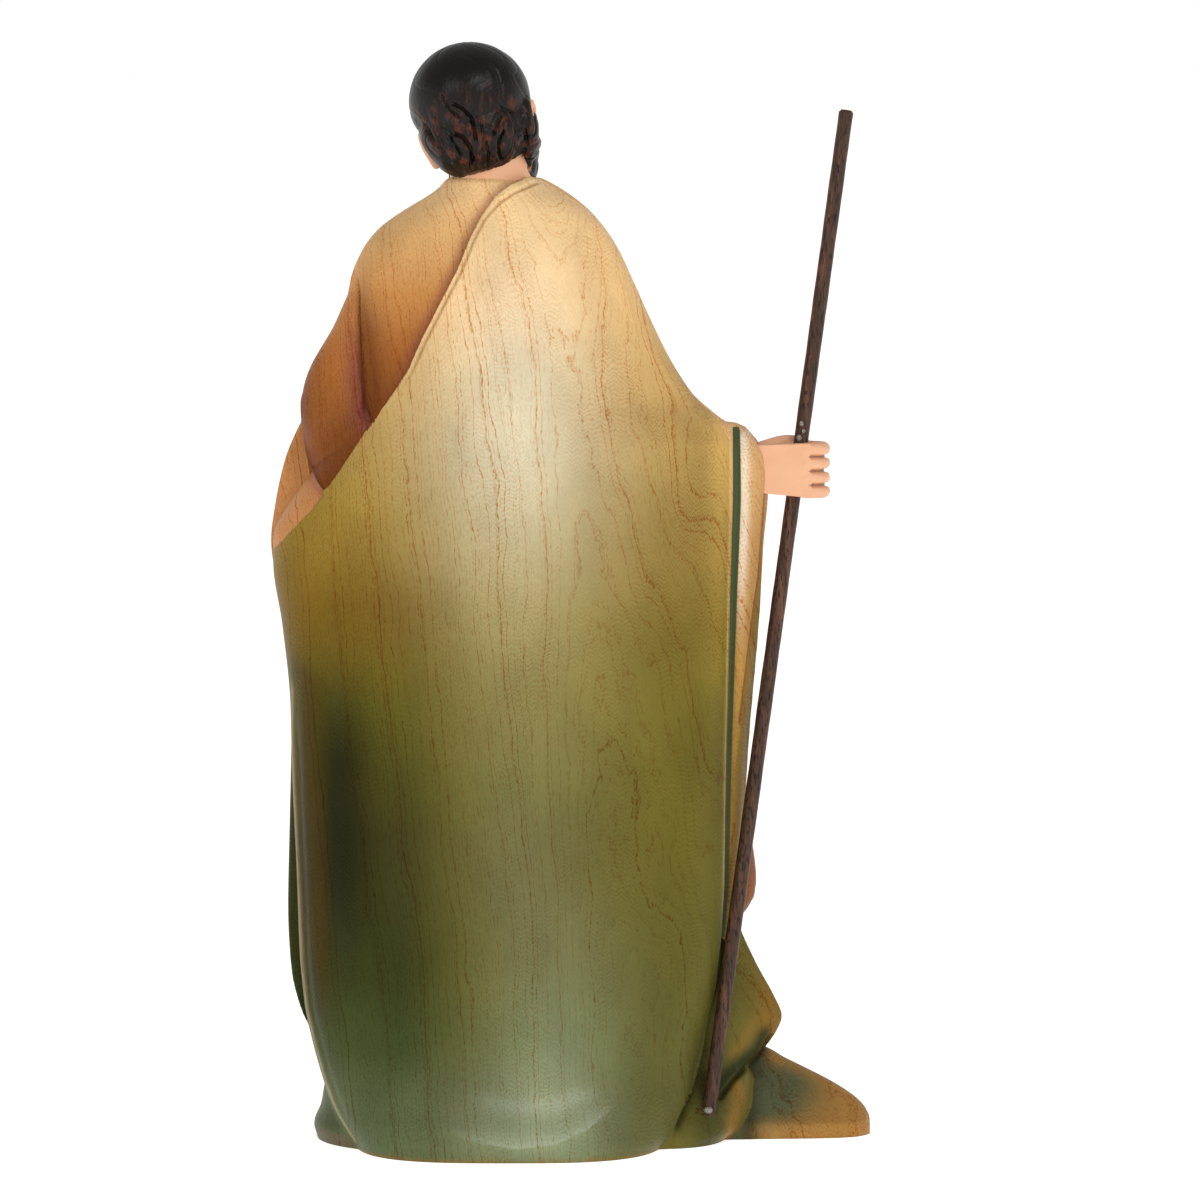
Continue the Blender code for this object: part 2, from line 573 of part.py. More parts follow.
def feet():
    """The front of both bare feet under the tunic's hem, each with five toes."""
    parts = []
    for x, y, out in ((9.4, -33.0, 1), (-7.4, -32.2, -1)):
        parts.append(limb([(x, y + 5, 1.6, 4.2), (x, y, 1.2, 4.0), (x, y - 2.4, 0.6, 3.6)], 10, 20, 1.2))
        for k in range(5):
            size = (1.55, 1.15, 1.1, 1.05, 1.0)[k]
            reach = (5.9, 6.1, 5.7, 5.1, 4.2)[k]
            toe = x + out * (2.1 * k - 4.1)
            parts.append(limb([(toe * 0.6 + x * 0.4, y - 1.5, 1.8, size), (toe, y - reach, size * 0.75, size)], 6, 12))
    return parts


def gauss(distance, width):
    return np.exp(-((distance / width) ** 2))


def step_up(value, low, high):
    t = np.clip((value - low) / (high - low), 0, 1)
    return t * t * (3 - 2 * t)


def sculpt(made, carve, unit=UNIT):
    """Moves each point of the object's mesh along its normal by carve(points, normals), both counted in units."""
    mesh = made.data
    points = np.empty(len(mesh.vertices) * 3, np.float32)
    normals = np.empty(len(mesh.vertices) * 3, np.float32)
    mesh.vertices.foreach_get("co", points)
    mesh.vertices.foreach_get("normal", normals)
    points, normals = points.reshape(-1, 3), normals.reshape(-1, 3)
    points = points + normals * carve(points / unit, normals)[:, None] * unit
    mesh.vertices.foreach_set("co", points.astype(np.float32).ravel())
    mesh.update()


def beside(path, x, z):
    """Distance from the path, positive to its right, and the share of the path's length at the nearest point."""
    path = np.asarray(path, float)
    run = np.concatenate([[0], np.cumsum(np.hypot(*np.diff(path, axis=0).T))])
    best = np.full(x.shape, 1e9)
    signed, along = np.zeros(x.shape), np.zeros(x.shape)
    for (ax, az), (bx, bz), start in zip(path, path[1:], run):
        dx, dz = bx - ax, bz - az
        length = math.hypot(dx, dz)
        t = np.clip(((x - ax) * dx + (z - az) * dz) / length**2, 0, 1)
        away = np.hypot(x - ax - t * dx, z - az - t * dz)
        nearer = away < best
        best = np.where(nearer, away, best)
        side = np.sign((z - az) * dx - (x - ax) * dz)
        signed = np.where(nearer, side * away, signed)
        along = np.where(nearer, (start + t * length) / run[-1], along)
    return signed, along


def mantle_edge(points, normals):
    """The mantle's edge stands over the tunic with a rolled rim, and sinks into the plain form away from it."""
    x, y, z = points.T
    behind = step_up(normals[:, 1], -0.3, 0.15) * step_up(-x, -42.0, -30.0) * step_up(y, 4.0, 7.0)
    off, along = beside(MANTLE_EDGE, x, z)
    off = -off
    rise = step_up(off, -0.5, 0.5)
    cloth = 0.9 * np.exp(-np.clip(off, 0, None) / 14) + 0.45 * gauss(off - 1.0, 0.9) - 0.2 * gauss(off - 2.6, 0.8)
    under = -0.9 * np.exp(-np.clip(-off, 0, None) / 7)
    return behind * (rise * cloth + (1 - rise) * under)


def back_folds(points, normals):
    """The hollow behind the mantle's left rim."""
    x, y, z = points.T
    hollow = -1.7 * gauss(x - eased(z, (20, 50, 90, 110), (30.0, 31.0, 31.5, 33.0)), 3.6)
    return hollow * step_up(z, 22, 44) * (1 - step_up(z, 88, 112)) * step_up(normals[:, 1], 0.0, 0.5)


def knuckles(points, normals):
    """The grooves between the four fingers of the fist, fading over the back of the hand."""
    x, y, z = points.T
    grooves = sum(gauss(z - height, 0.55) for height in (136.7, 134.15, 131.65))
    return -0.75 * grooves * step_up(-x, 61.0, 64.5) * step_up(x, -74.0, -72.0)


def front_folds(points, normals):
    """Falling folds down the tunic's front and on both sides of it."""
    x, y, z = points.T
    toes = step_up(-y, 35.4, 36.4) * step_up(-z, -7.0, -5.0)
    ahead = step_up(-normals[:, 1], 0.0, 0.5) * step_up(x, -50.0, -44.0) * (1 - toes)
    waves = np.cos(x * (0.74 - 0.0012 * z) + 0.7) + 0.5 * np.cos(x * 1.31 + 1.9)
    front = 1.1 * waves * (1 - step_up(z, 70, 116)) * step_up(14.0 - np.abs(x + 1.0), -3.0, 3.0)
    right_fall = 1.0 * np.cos((x + 0.06 * z) * 0.62) * step_up(-x, 18.0, 22.0) * (1 - step_up(z, 120, 150))
    left_fall = 1.0 * np.cos((x - 0.10 * z) * 0.66 + 0.4) * step_up(x, 15.0, 19.0) * (1 - step_up(z, 118, 140))
    return ahead * (front + right_fall + left_fall)


def figure():
    """The whole carved figure as one solid, cut flat below and bored for the staff."""
    shapes = [mantle_tail(), sleeve_drop()]
    for stations in (BACK, TUNIC, FRONT_FALL, ARM_DRAPE, CORNER_FOLD, FOOT_BLOCK):
        shapes.append(upright_mass(stations))
    shapes += [*left_arm(), *left_hand(), *right_hand(), head(), neck(), *feet()]
    whole = joined(shapes)
    whole.transform(Matrix.Scale(UNIT, 4))
    made = object_of("figure", whole)
    fused(made, FUSE_STEP, 3)
    for carve in (mantle_edge, back_folds, front_folds, knuckles):
        sculpt(made, carve)
    eased_skin(made, 1)
    thin = made.modifiers.new("thin", "DECIMATE")
    made.data.calc_loop_triangles()
    thin.ratio = CARVED_TRIANGLES / len(made.data.loop_triangles)
    settle(made)
    cut(made, ground_cutter(), "ground")
    cut(made, staff_cutter(), "bore")
    return made


def ground_cutter():
    """A slab under the ground plane that leaves the figure's underside flat."""
    made = bmesh.new()
    bmesh.ops.create_cube(made, size=1.0)
    made.transform(Matrix.Scale(FIGURE_HEIGHT * 2, 4) @ Matrix.Translation((0, 0, -0.5)))
    return object_of("ground_cutter", made)


def rod(name, diameter, start, length, sides, rounding=0.0):
    """A round bar along the staff's line, from a distance start above the foot point."""
    made = bmesh.new()
    bmesh.ops.create_cone(
        made, cap_ends=True, segments=sides, radius1=diameter / 2, radius2=diameter / 2, depth=length
    )
    if rounding:
        rims = [e for e in made.edges if abs(e.verts[0].co.z) > 0 and e.verts[0].co.z * e.verts[1].co.z > 0]
        bmesh.ops.bevel(made, geom=rims, offset=rounding, segments=2, affect="EDGES")
    lean = staff_direction().to_track_quat("Z", "Y").to_matrix().to_4x4()
    middle = STAFF_FOOT * UNIT + staff_direction() * (start + length / 2)
    made.transform(Matrix.Translation(middle) @ lean)
    return object_of(name, made)


def staff_cutter():
    """The bore through the fist and the blind socket in the foot block, one clearance wider than the staff."""
    reach = STAFF_LENGTH + FIGURE_HEIGHT
    return rod("staff_cutter", STAFF_DIAMETER + 2 * STAFF_CLEARANCE, -SOCKET_DEPTH, reach, ROD_SIDES)


def staff():
    start = STAFF_CLEARANCE - SOCKET_DEPTH
    return rod("staff", STAFF_DIAMETER, start, STAFF_LENGTH, ROD_SIDES, STAFF_END_ROUNDING)


def painted(made, name, colour, roughness):
    material = bpy.data.materials.new(name)
    material.use_nodes = True
    surface = material.node_tree.nodes["Principled BSDF"]
    surface.inputs["Base Color"].default_value = (*colour, 1.0)
    surface.inputs["Roughness"].default_value = roughness
    made.data.materials.clear()
    made.data.materials.append(material)
    made.data.shade_smooth()
    made.data.set_sharp_from_angle(angle=math.radians(45))


def main():
    clear_scene()
    painted(figure(), "stained_ash", WOOD_HONEY, 0.45)
    painted(staff(), "stained_rod", ROD_BROWN, 0.5)


main()
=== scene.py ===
"""A carved and stained wooden saint with a rod staff in its right hand, seen from behind on a pale floor.

The form is counted in units of about a millimetre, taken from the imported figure's height. The figure faces
-Y, its right hand is on the -X side and the camera stands on the +Y side.
"""

import math

import bmesh
import bpy
import numpy as np
from mathutils import Euler, Matrix, Vector
from mathutils.bvhtree import BVHTree


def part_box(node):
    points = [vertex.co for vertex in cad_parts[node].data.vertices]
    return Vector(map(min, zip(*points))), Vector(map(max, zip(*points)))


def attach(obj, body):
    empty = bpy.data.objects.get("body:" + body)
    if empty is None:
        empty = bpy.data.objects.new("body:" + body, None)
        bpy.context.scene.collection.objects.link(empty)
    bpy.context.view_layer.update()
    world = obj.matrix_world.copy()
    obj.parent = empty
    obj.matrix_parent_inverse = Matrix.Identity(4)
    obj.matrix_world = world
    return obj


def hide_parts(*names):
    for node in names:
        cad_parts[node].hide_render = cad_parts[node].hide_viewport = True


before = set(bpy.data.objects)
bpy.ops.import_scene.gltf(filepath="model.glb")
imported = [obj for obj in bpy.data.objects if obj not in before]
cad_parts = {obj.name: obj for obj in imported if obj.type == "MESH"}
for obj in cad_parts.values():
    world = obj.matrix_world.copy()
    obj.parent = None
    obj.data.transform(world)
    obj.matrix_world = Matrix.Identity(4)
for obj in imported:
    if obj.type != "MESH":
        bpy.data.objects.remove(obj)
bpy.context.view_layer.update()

# The carving stands 219.2 units tall, so that one unit is a millimetre on the real figure
FIGURE_LOW, FIGURE_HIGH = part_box("figure")
UNIT = (FIGURE_HIGH.z - FIGURE_LOW.z) / 219.2

# How far the masses reach below the ground before they are cut flat there
GROUND_SKIRT = 4.0

# The staff's line in units, as in the solids: where it enters the foot and where the fist holds it
STAFF_FOOT = Vector((-44.4, 13.0, 7.4))
STAFF_GRIP = Vector((-62.0, 1.0, 134.6))
STAFF_RADIUS = 1.5
STAFF_LENGTH = 205.0
SOCKET_DEPTH = 4.2

# The head's turn, bow and lean in degrees, the place of its middle, and its scale
HEAD_TURN = -22.0
HEAD_BOW = 8.0
HEAD_LEAN = 14.0
HEAD_CENTRE = Vector((2.2, -1.0, 204.7))
HEAD_SIZE = 0.97

# How finely each piece is fused, and the most triangles it keeps
ROBE_STEP = 0.5
HEAD_STEP = 0.17
HEAD_SHELL_STEP = 0.3
HAND_STEP = 0.15
NECK_STEP = 0.4
ROBE_TRIANGLES = 190000
HEAD_TRIANGLES = 190000
HAND_TRIANGLES = 40000
RING_POINTS = 160


# Small helpers for numbers

def gauss(distance, width):
    return np.exp(-((distance / width) ** 2))


def step_up(value, low, high):
    t = np.clip((value - low) / (high - low), 0, 1)
    return t * t * (3 - 2 * t)


def eased(at, stops, values):
    """Values read along a curve that passes through every stop without overshooting."""
    stops, values = np.asarray(stops, float), np.asarray(values, float)
    step = np.diff(stops)
    rise = np.diff(values) / step
    slope = np.zeros(len(stops))
    slope[0], slope[-1] = rise[0], rise[-1]
    same_way = rise[:-1] * rise[1:] > 0
    near, far = rise[:-1][same_way], rise[1:][same_way]
    slope[1:-1][same_way] = 2 * near * far / (near + far)
    at = np.clip(at, stops[0], stops[-1])
    k = np.clip(np.searchsorted(stops, at, side="right") - 1, 0, len(step) - 1)
    t = (at - stops[k]) / step[k]
    return (
        (2 * t**3 - 3 * t**2 + 1) * values[k]
        + (t**3 - 2 * t**2 + t) * step[k] * slope[k]
        + (3 * t**2 - 2 * t**3) * values[k + 1]
        + (t**3 - t**2) * step[k] * slope[k + 1]
    )


def beside(path, x, z):
    """Distance from the path, positive to its left as it runs, and the share of its length at the nearest."""
    path = np.asarray(path, float)
    run = np.concatenate([[0], np.cumsum(np.hypot(*np.diff(path, axis=0).T))])
    best = np.full(x.shape, 1e9)
    signed, along = np.zeros(x.shape), np.zeros(x.shape)
    for (ax, az), (bx, bz), start in zip(path, path[1:], run):
        dx, dz = bx - ax, bz - az
        length = math.hypot(dx, dz)
        t = np.clip(((x - ax) * dx + (z - az) * dz) / length**2, 0, 1)
        away = np.hypot(x - ax - t * dx, z - az - t * dz)
        nearer = away < best
        best = np.where(nearer, away, best)
        side = np.sign((z - az) * dx - (x - ax) * dz)
        signed = np.where(nearer, side * away, signed)
        along = np.where(nearer, (start + t * length) / run[-1], along)
    return signed, along


# Small helpers for shapes

def loft(rings):
    """A closed bmesh through rings of points, with a cap on each end ring."""
    made = bmesh.new()
    rows = [[made.verts.new(p) for p in ring] for ring in rings]
    for low, high in zip(rows, rows[1:]):
        for i in range(len(low)):
            j = (i + 1) % len(low)
            made.faces.new((low[i], low[j], high[j], high[i]))
    made.faces.new(rows[0][::-1])
    made.faces.new(rows[-1])
    bmesh.ops.recalc_face_normals(made, faces=made.faces)
    return made


def upright_mass(stations, levels=160):
    """A loft up the figure. A station is (height, left, right, back, front, tip, fullness, right fullness).

    left, right, back and front are how far the outline reaches from the axis, tip is how far back its ends
    sit, and a fullness of 2 is an ellipse, less is slacker and more is squarer.
    """
    table = np.array(stations, float)
    heights = np.linspace(table[0, 0], table[-1, 0], levels)
    read = [eased(heights, table[:, 0], table[:, column]) for column in range(1, 8)]
    turn = np.linspace(0, 2 * math.pi, RING_POINTS, endpoint=False)
    across, along = np.cos(turn), np.sin(turn)
    rings = []
    for k, height in enumerate(heights):
        left, right, back, front, tip, full, full_right = (column[k] for column in read)
        middle = (left + right) / 2
        half = (left - right) / 2
        blend = 0.5 + 0.5 * across
        power = 2 / (full * blend + full_right * (1 - blend))
        x = np.sign(across) * np.abs(across) ** power
        y = np.sign(along) * np.abs(along) ** power
        y = np.where(along > 0, back * y, -front * y) + tip * x * x
        rings.append(np.stack([middle + half * x, y, np.full(RING_POINTS, height)], 1))
    return loft(rings)


def smooth_path(points, count):
    """Points and radii read along a smooth curve through (x, y, z, radius) rows."""
    rows = np.array(points, float)
    run = np.concatenate([[0], np.cumsum(np.linalg.norm(np.diff(rows[:, :3], axis=0), axis=1))])
    ends = np.vstack([2 * rows[0] - rows[1], rows, 2 * rows[-1] - rows[-2]])
    at = np.linspace(0, run[-1], count)
    k = np.clip(np.searchsorted(run, at, side="right") - 1, 0, len(rows) - 2)
    t = ((at - run[k]) / (run[k + 1] - run[k]))[:, None]
    a, b, c, d = ends[k], ends[k + 1], ends[k + 2], ends[k + 3]
    return 0.5 * (2 * b + (c - a) * t + (2 * a - 5 * b + 4 * c - d) * t**2 + (3 * b - a - 3 * c + d) * t**3)


def limb(points, count=28, sides=32, flat=1.0):
    """A tube with round ends along (x, y, z, radius) rows. flat below 1 squeezes it along its second side."""
    spine = smooth_path(points, count)
    centres, radii = spine[:, :3], spine[:, 3]
    heading = np.gradient(centres, axis=0)
    heading /= np.linalg.norm(heading, axis=1)[:, None]
    side = np.cross(heading[0], (0.0, 0.0, 1.0))
    if np.linalg.norm(side) < 0.2:
        side = np.cross(heading[0], (0.0, 1.0, 0.0))
    turn = np.linspace(0, 2 * math.pi, sides, endpoint=False)
    rings = []
    rounding = np.array([0.1, 0.35, 0.6, 0.8, 0.93])
    for k in range(count):
        side = side - heading[k] * np.dot(side, heading[k])
        side /= np.linalg.norm(side)
        up = np.cross(heading[k], side)
        circle = np.cos(turn)[:, None] * up + flat * np.sin(turn)[:, None] * side
        if k == 0:
            rings += [
                centres[0] - heading[0] * radii[0] * math.sqrt(1 - r * r) + circle * radii[0] * r
                for r in rounding
            ]
        rings.append(centres[k] + circle * radii[k])
        if k == count - 1:
            rings += [
                centres[k] + heading[k] * radii[k] * math.sqrt(1 - r * r) + circle * radii[k] * r
                for r in rounding[::-1]
            ]
    return loft(rings)


def egg(centre, radii, turn=(0.0, 0.0, 0.0)):
    """An ellipsoid, its radii along its own axes, turned by degrees about x, y and z."""
    made = bmesh.new()
    spin = Euler([math.radians(a) for a in turn]).to_matrix().to_4x4()
    scale = Matrix.Diagonal((*radii, 1.0))
    bmesh.ops.create_uvsphere(made, u_segments=48, v_segments=32, radius=1.0)
    made.transform(Matrix.Translation(centre) @ spin @ scale)
    return made


def joined(parts):
    """One bmesh that holds every part."""
    whole = bmesh.new()
    for part in parts:
        held = bpy.data.meshes.new("held")
        part.to_mesh(held)
        part.free()
        whole.from_mesh(held)
        bpy.data.meshes.remove(held)
    return whole


def object_of(name, shape):
    mesh = bpy.data.meshes.new(name)
    shape.to_mesh(mesh)
    shape.free()
    made = bpy.data.objects.new(name, mesh)
    bpy.context.scene.collection.objects.link(made)
    return made


def settle(made):
    """Applies the object's modifiers to its mesh."""
    bpy.context.view_layer.update()
    seen = made.evaluated_get(bpy.context.evaluated_depsgraph_get())
    mesh = bpy.data.meshes.new_from_object(seen)
    made.modifiers.clear()
    made.data = mesh


def fused(made, step, passes):
    """The object's overlapping shapes become one skin, eased by a few smoothing passes."""
    remesh = made.modifiers.new("fuse", "REMESH")
    remesh.mode = "VOXEL"
    remesh.voxel_size = step
    ease_skin(made, passes)


def ease_skin(made, passes):
    ease = made.modifiers.new("ease", "SMOOTH")
    ease.factor = 0.5
    ease.iterations = passes
    settle(made)


def thinned(made, most):
    made.data.calc_loop_triangles()
    count = len(made.data.loop_triangles)
    if count > most:
        thin = made.modifiers.new("thin", "DECIMATE")
        thin.ratio = most / count
        settle(made)


def finer(made, chosen):
    """Splits every triangle whose corners are all chosen, so that crisp edges can be carved there."""
    shape = bmesh.new()
    shape.from_mesh(made.data)
    edges = [e for e in shape.edges if chosen[e.verts[0].index] and chosen[e.verts[1].index]]
    bmesh.ops.subdivide_edges(shape, edges=edges, cuts=1, use_grid_fill=True)
    bmesh.ops.triangulate(shape, faces=[f for f in shape.faces if len(f.verts) > 3])
    shape.to_mesh(made.data)
    shape.free()


def points_of(mesh):
    points = np.empty(len(mesh.vertices) * 3, np.float32)
    mesh.vertices.foreach_get("co", points)
    return points.reshape(-1, 3).astype(float)


def normals_of(mesh):
    normals = np.empty(len(mesh.vertices) * 3, np.float32)
    mesh.vertices.foreach_get("normal", normals)
    return normals.reshape(-1, 3).astype(float)


def put_points(mesh, points):
    mesh.vertices.foreach_set("co", points.astype(np.float32).ravel())
    mesh.update()


def sculpt(made, carve):
    """Moves each point of the object's mesh along its normal by carve(points, normals)."""
    points, normals = points_of(made.data), normals_of(made.data)
    put_points(made.data, points + normals * carve(points, normals)[:, None])


def push(points, centre, reach, way):
    """Points near the centre moved by way, less and less towards the reach."""
    away = ((points - np.array(centre)) / np.array(reach)) ** 2
    return points + np.exp(-away.sum(1))[:, None] * np.array(way)


def stood_flat(made):
    """Everything under the ground is cut away and the cut is closed."""
    shape = bmesh.new()
    shape.from_mesh(made.data)
    geometry = list(shape.verts) + list(shape.edges) + list(shape.faces)
    ground = {"plane_co": (0, 0, 0), "plane_no": (0, 0, 1)}
    cut = bmesh.ops.bisect_plane(shape, geom=geometry, clear_inner=True, **ground)
    rim = [e for e in cut["geom_cut"] if isinstance(e, bmesh.types.BMEdge)]
    bmesh.ops.edgeloop_fill(shape, edges=rim)
    bmesh.ops.recalc_face_normals(shape, faces=shape.faces)
    bmesh.ops.triangulate(shape, faces=[f for f in shape.faces if len(f.verts) > 4])
    shape.to_mesh(made.data)
    shape.free()


def mark(mesh, name, values):
    """Stores one number for each point, for the materials to read."""
    held = mesh.attributes.new(name, "FLOAT", "POINT")
    held.data.foreach_set("value", values.astype(np.float32))


def settled(mesh, values, passes):
    """Each point's value drawn towards its neighbours', so that a border between two coats runs smoothly."""
    ends = np.empty(2 * len(mesh.edges), np.int32)
    mesh.edges.foreach_get("vertices", ends)
    first, second = ends[0::2], ends[1::2]
    count = np.bincount(ends, minlength=len(values))
    for _ in range(passes):
        near = np.bincount(first, values[second], len(values))
        near = near + np.bincount(second, values[first], len(values))
        values = (values + near / np.maximum(count, 1)) / 2
    return values


def mark_colour(mesh, name, values):
    """Stores one colour for each point, for the materials to read."""
    held = mesh.attributes.new(name, "FLOAT_COLOR", "POINT")
    full = np.ones((len(values), 4), np.float32)
    full[:, :3] = values
    held.data.foreach_set("color", full.ravel())


# The robe: stations are height, left, right, back, front, tip, fullness, right fullness

# The mantle's edge across the back, from the neck down to the left elbow: (x, height)
MANTLE_EDGE = (
    (-16.0, 195.0), (-8.8, 192.4), (-4.6, 190.6), (-1.8, 188.4), (0.9, 184.6), (3.1, 180.4), (5.4, 174.6),
    (8.8, 168.0), (12.4, 160.7), (14.8, 155.2), (19.3, 148.2), (22.8, 143.3), (26.3, 137.8), (30.3, 131.8),
    (34.2, 126.8), (41.2, 119.9), (50.0, 113.0),
)

# The mantle's broad back, with the shoulders and the neck's root
BACK = (
    (-GROUND_SKIRT, 25.6, -34.6, 38.6, -8.0, 3.0, 2.8, 2.7),
    (0.0, 26.2, -35.0, 39.2, -8.0, 3.0, 2.8, 2.7),
    (2.5, 28.0, -37.4, 39.4, -9.0, 3.0, 2.7, 2.6),
    (5.5, 30.0, -38.8, 38.4, -10.0, 3.0, 2.6, 2.4),
    (9.0, 31.6, -40.4, 35.8, -11.0, 4.0, 2.4, 2.2),
    (14.0, 33.2, -41.6, 32.6, -12.0, 5.0, 2.3, 2.0),
    (20.0, 34.8, -42.8, 30.8, -12.0, 6.0, 2.3, 1.9),
    (28.0, 36.4, -44.8, 30.2, -12.0, 7.0, 2.3, 1.8),
    (40.0, 37.4, -46.6, 30.4, -12.0, 8.0, 2.2, 1.75),
    (56.0, 37.9, -47.4, 31.0, -12.0, 8.0, 2.2, 1.7),
    (72.0, 38.6, -47.6, 31.4, -12.0, 8.0, 2.2, 1.7),
    (88.0, 39.0, -47.9, 31.2, -12.0, 8.0, 2.2, 1.65),
    (104.0, 40.6, -48.1, 30.2, -12.0, 8.0, 2.2, 1.6),
    (116.0, 42.4, -48.5, 29.2, -13.0, 8.0, 2.2, 1.6),
    (121.0, 42.4, -48.9, 28.8, -13.0, 7.5, 2.2, 1.6),
    (127.0, 39.8, -49.2, 28.2, -13.0, 6.5, 2.2, 1.6),
    (132.0, 36.6, -49.4, 27.6, -13.0, 6.0, 2.2, 1.6),
    (139.0, 31.6, -49.8, 26.6, -13.0, 5.0, 2.2, 1.6),
    (144.0, 29.2, -46.4, 25.8, -13.0, 3.5, 2.2, 1.65),
    (148.0, 28.2, -42.2, 25.2, -13.0, 2.0, 2.2, 1.7),
    (156.0, 28.2, -36.8, 24.0, -13.0, 1.0, 2.2, 1.8),
    (164.0, 28.2, -32.8, 22.6, -13.0, 0.0, 2.1, 1.9),
    (172.0, 27.2, -29.2, 20.8, -12.0, 0.0, 2.1, 2.0),
    (178.0, 24.8, -26.4, 18.8, -11.0, 0.0, 2.1, 2.1),
    (182.0, 21.8, -23.8, 16.8, -10.0, 0.0, 2.0, 2.1),
    (186.0, 16.4, -19.8, 14.2, -8.0, 0.0, 2.0, 2.1),
    (188.6, 12.0, -15.8, 12.2, -6.0, 0.0, 2.0, 2.1),
    (190.6, 9.2, -12.6, 10.4, -5.0, 0.0, 2.0, 2.0),
    (192.2, 7.4, -10.0, 9.2, -4.0, 0.0, 2.0, 2.0),
    (193.2, 5.4, -8.0, 7.0, -2.0, 0.0, 2.0, 2.0),
)

# The tunic, which shows down the front, at the left and above the mantle's edge
TUNIC = (
    (-GROUND_SKIRT, 34.0, -34.0, 27.0, -34.5, -3.0, 2.4, 2.2),
    (0.0, 34.2, -34.0, 27.4, -34.6, -3.0, 2.4, 2.2),
    (2.6, 35.0, -34.0, 27.4, -34.6, -3.0, 2.4, 2.2),
    (6.0, 33.6, -33.4, 25.0, -34.0, -4.0, 2.4, 2.2),
    (10.6, 32.8, -33.0, 20.0, -33.0, -4.0, 2.3, 2.2),
    (18.0, 31.0, -32.0, 16.0, -31.8, -3.0, 2.3, 2.1),
    (30.0, 29.0, -31.0, 14.0, -30.4, -2.0, 2.3, 2.1),
    (50.0, 26.5, -29.5, 16.0, -28.6, 0.0, 2.2, 2.1),
    (75.0, 24.5, -28.0, 18.0, -26.2, 0.0, 2.2, 2.1),
    (100.0, 23.0, -26.0, 20.0, -23.2, 0.0, 2.2, 2.1),
    (116.0, 21.0, -24.0, 21.5, -20.4, 0.0, 2.2, 2.1),
    (124.0, 20.4, -23.0, 22.4, -19.4, 0.0, 2.2, 2.1),
    (136.0, 21.0, -23.0, 23.4, -20.6, 0.0, 2.2, 2.1),
    (150.0, 22.4, -23.6, 23.4, -21.6, 0.0, 2.2, 2.1),
    (162.0, 23.4, -24.0, 22.0, -21.0, 0.0, 2.2, 2.1),
    (170.0, 24.0, -24.0, 20.4, -19.4, 0.0, 2.1, 2.1),
    (177.0, 23.0, -23.0, 18.4, -17.0, 0.0, 2.1, 2.1),
    (183.0, 19.6, -19.6, 14.6, -14.0, 0.0, 2.0, 2.0),
    (187.0, 14.6, -15.6, 12.0, -11.6, 0.0, 2.0, 2.0),
    (190.0, 9.8, -12.0, 9.6, -9.6, 0.0, 2.0, 2.0),
    (192.0, 8.2, -9.6, 8.2, -8.2, 0.0, 2.0, 2.0),
    (193.0, 6.4, -8.0, 6.4, -6.6, 0.0, 2.0, 2.0),
)

# The mantle's front fall, from the right shoulder over the forearm to the ground
FRONT_FALL = (
    (-GROUND_SKIRT, -14.0, -44.0, -8.0, -30.0, 2.0, 2.2, 2.0),
    (0.0, -14.0, -44.0, -8.0, -30.6, 2.0, 2.2, 2.0),
    (10.0, -15.0, -46.0, -6.0, -30.0, 2.0, 2.2, 2.0),
    (26.0, -16.0, -48.4, -4.0, -29.4, 2.4, 2.2, 1.9),
    (44.0, -17.0, -50.4, -2.0, -28.6, 3.0, 2.2, 1.9),
    (60.0, -18.0, -51.2, -1.0, -27.4, 3.0, 2.2, 1.9),
    (80.0, -18.4, -52.4, 0.0, -25.6, 3.4, 2.2, 1.9),
    (104.0, -18.0, -54.4, 1.0, -23.0, 4.0, 2.2, 1.9),
    (120.0, -17.0, -55.3, 2.0, -21.6, 4.4, 2.2, 2.0),
    (130.0, -16.0, -56.0, 3.0, -21.0, 4.4, 2.2, 2.3),
    (137.0, -15.0, -55.8, 3.6, -21.0, 4.0, 2.2, 2.3),
    (141.0, -14.6, -52.6, 4.0, -21.4, 4.0, 2.2, 2.2),
    (144.0, -14.4, -47.4, 4.0, -21.8, 3.0, 2.2, 2.1),
    (152.0, -13.4, -38.8, 4.0, -22.4, 2.0, 2.2, 2.1),
    (162.0, -12.0, -33.6, 3.0, -22.0, 1.0, 2.2, 2.1),
    (172.0, -10.0, -29.0, 2.0, -19.6, 0.0, 2.1, 2.1),
    (180.0, -8.0, -25.2, 1.0, -16.4, 0.0, 2.1, 2.1),
    (186.0, -7.0, -20.4, 1.0, -13.0, 0.0, 2.0, 2.0),
    (190.4, -6.6, -14.6, 1.0, -9.6, 0.0, 2.0, 2.0),
    (192.4, -7.0, -10.8, 0.0, -6.0, 0.0, 2.0, 2.0),
)

# The cuff's roll beside the back panel, which stands out in front of the right wrist as seen from behind
CUFF_ROLL = (
    (40.0, -42.0, -48.6, 7.0, -8.0, 0.0, 2.0, 2.0),
    (60.0, -42.0, -51.0, 8.0, -8.0, 0.0, 2.0, 2.0),
    (80.0, -42.0, -52.4, 8.6, -8.0, 0.0, 2.0, 2.0),
    (104.0, -42.0, -54.4, 9.4, -8.0, 0.0, 2.0, 2.0),
    (120.0, -42.0, -55.4, 9.8, -8.0, 0.0, 2.0, 2.0),
    (130.0, -42.0, -56.2, 9.8, -8.0, 0.0, 2.0, 2.1),
    (136.0, -42.0, -56.0, 9.4, -8.0, 0.0, 2.0, 2.2),
    (140.0, -42.0, -54.4, 8.6, -7.0, 0.0, 2.0, 2.2),
    (142.4, -43.0, -51.8, 7.2, -6.0, 0.0, 2.0, 2.2),
    (143.6, -44.0, -49.8, 5.6, -4.0, 0.0, 2.0, 2.0),
)

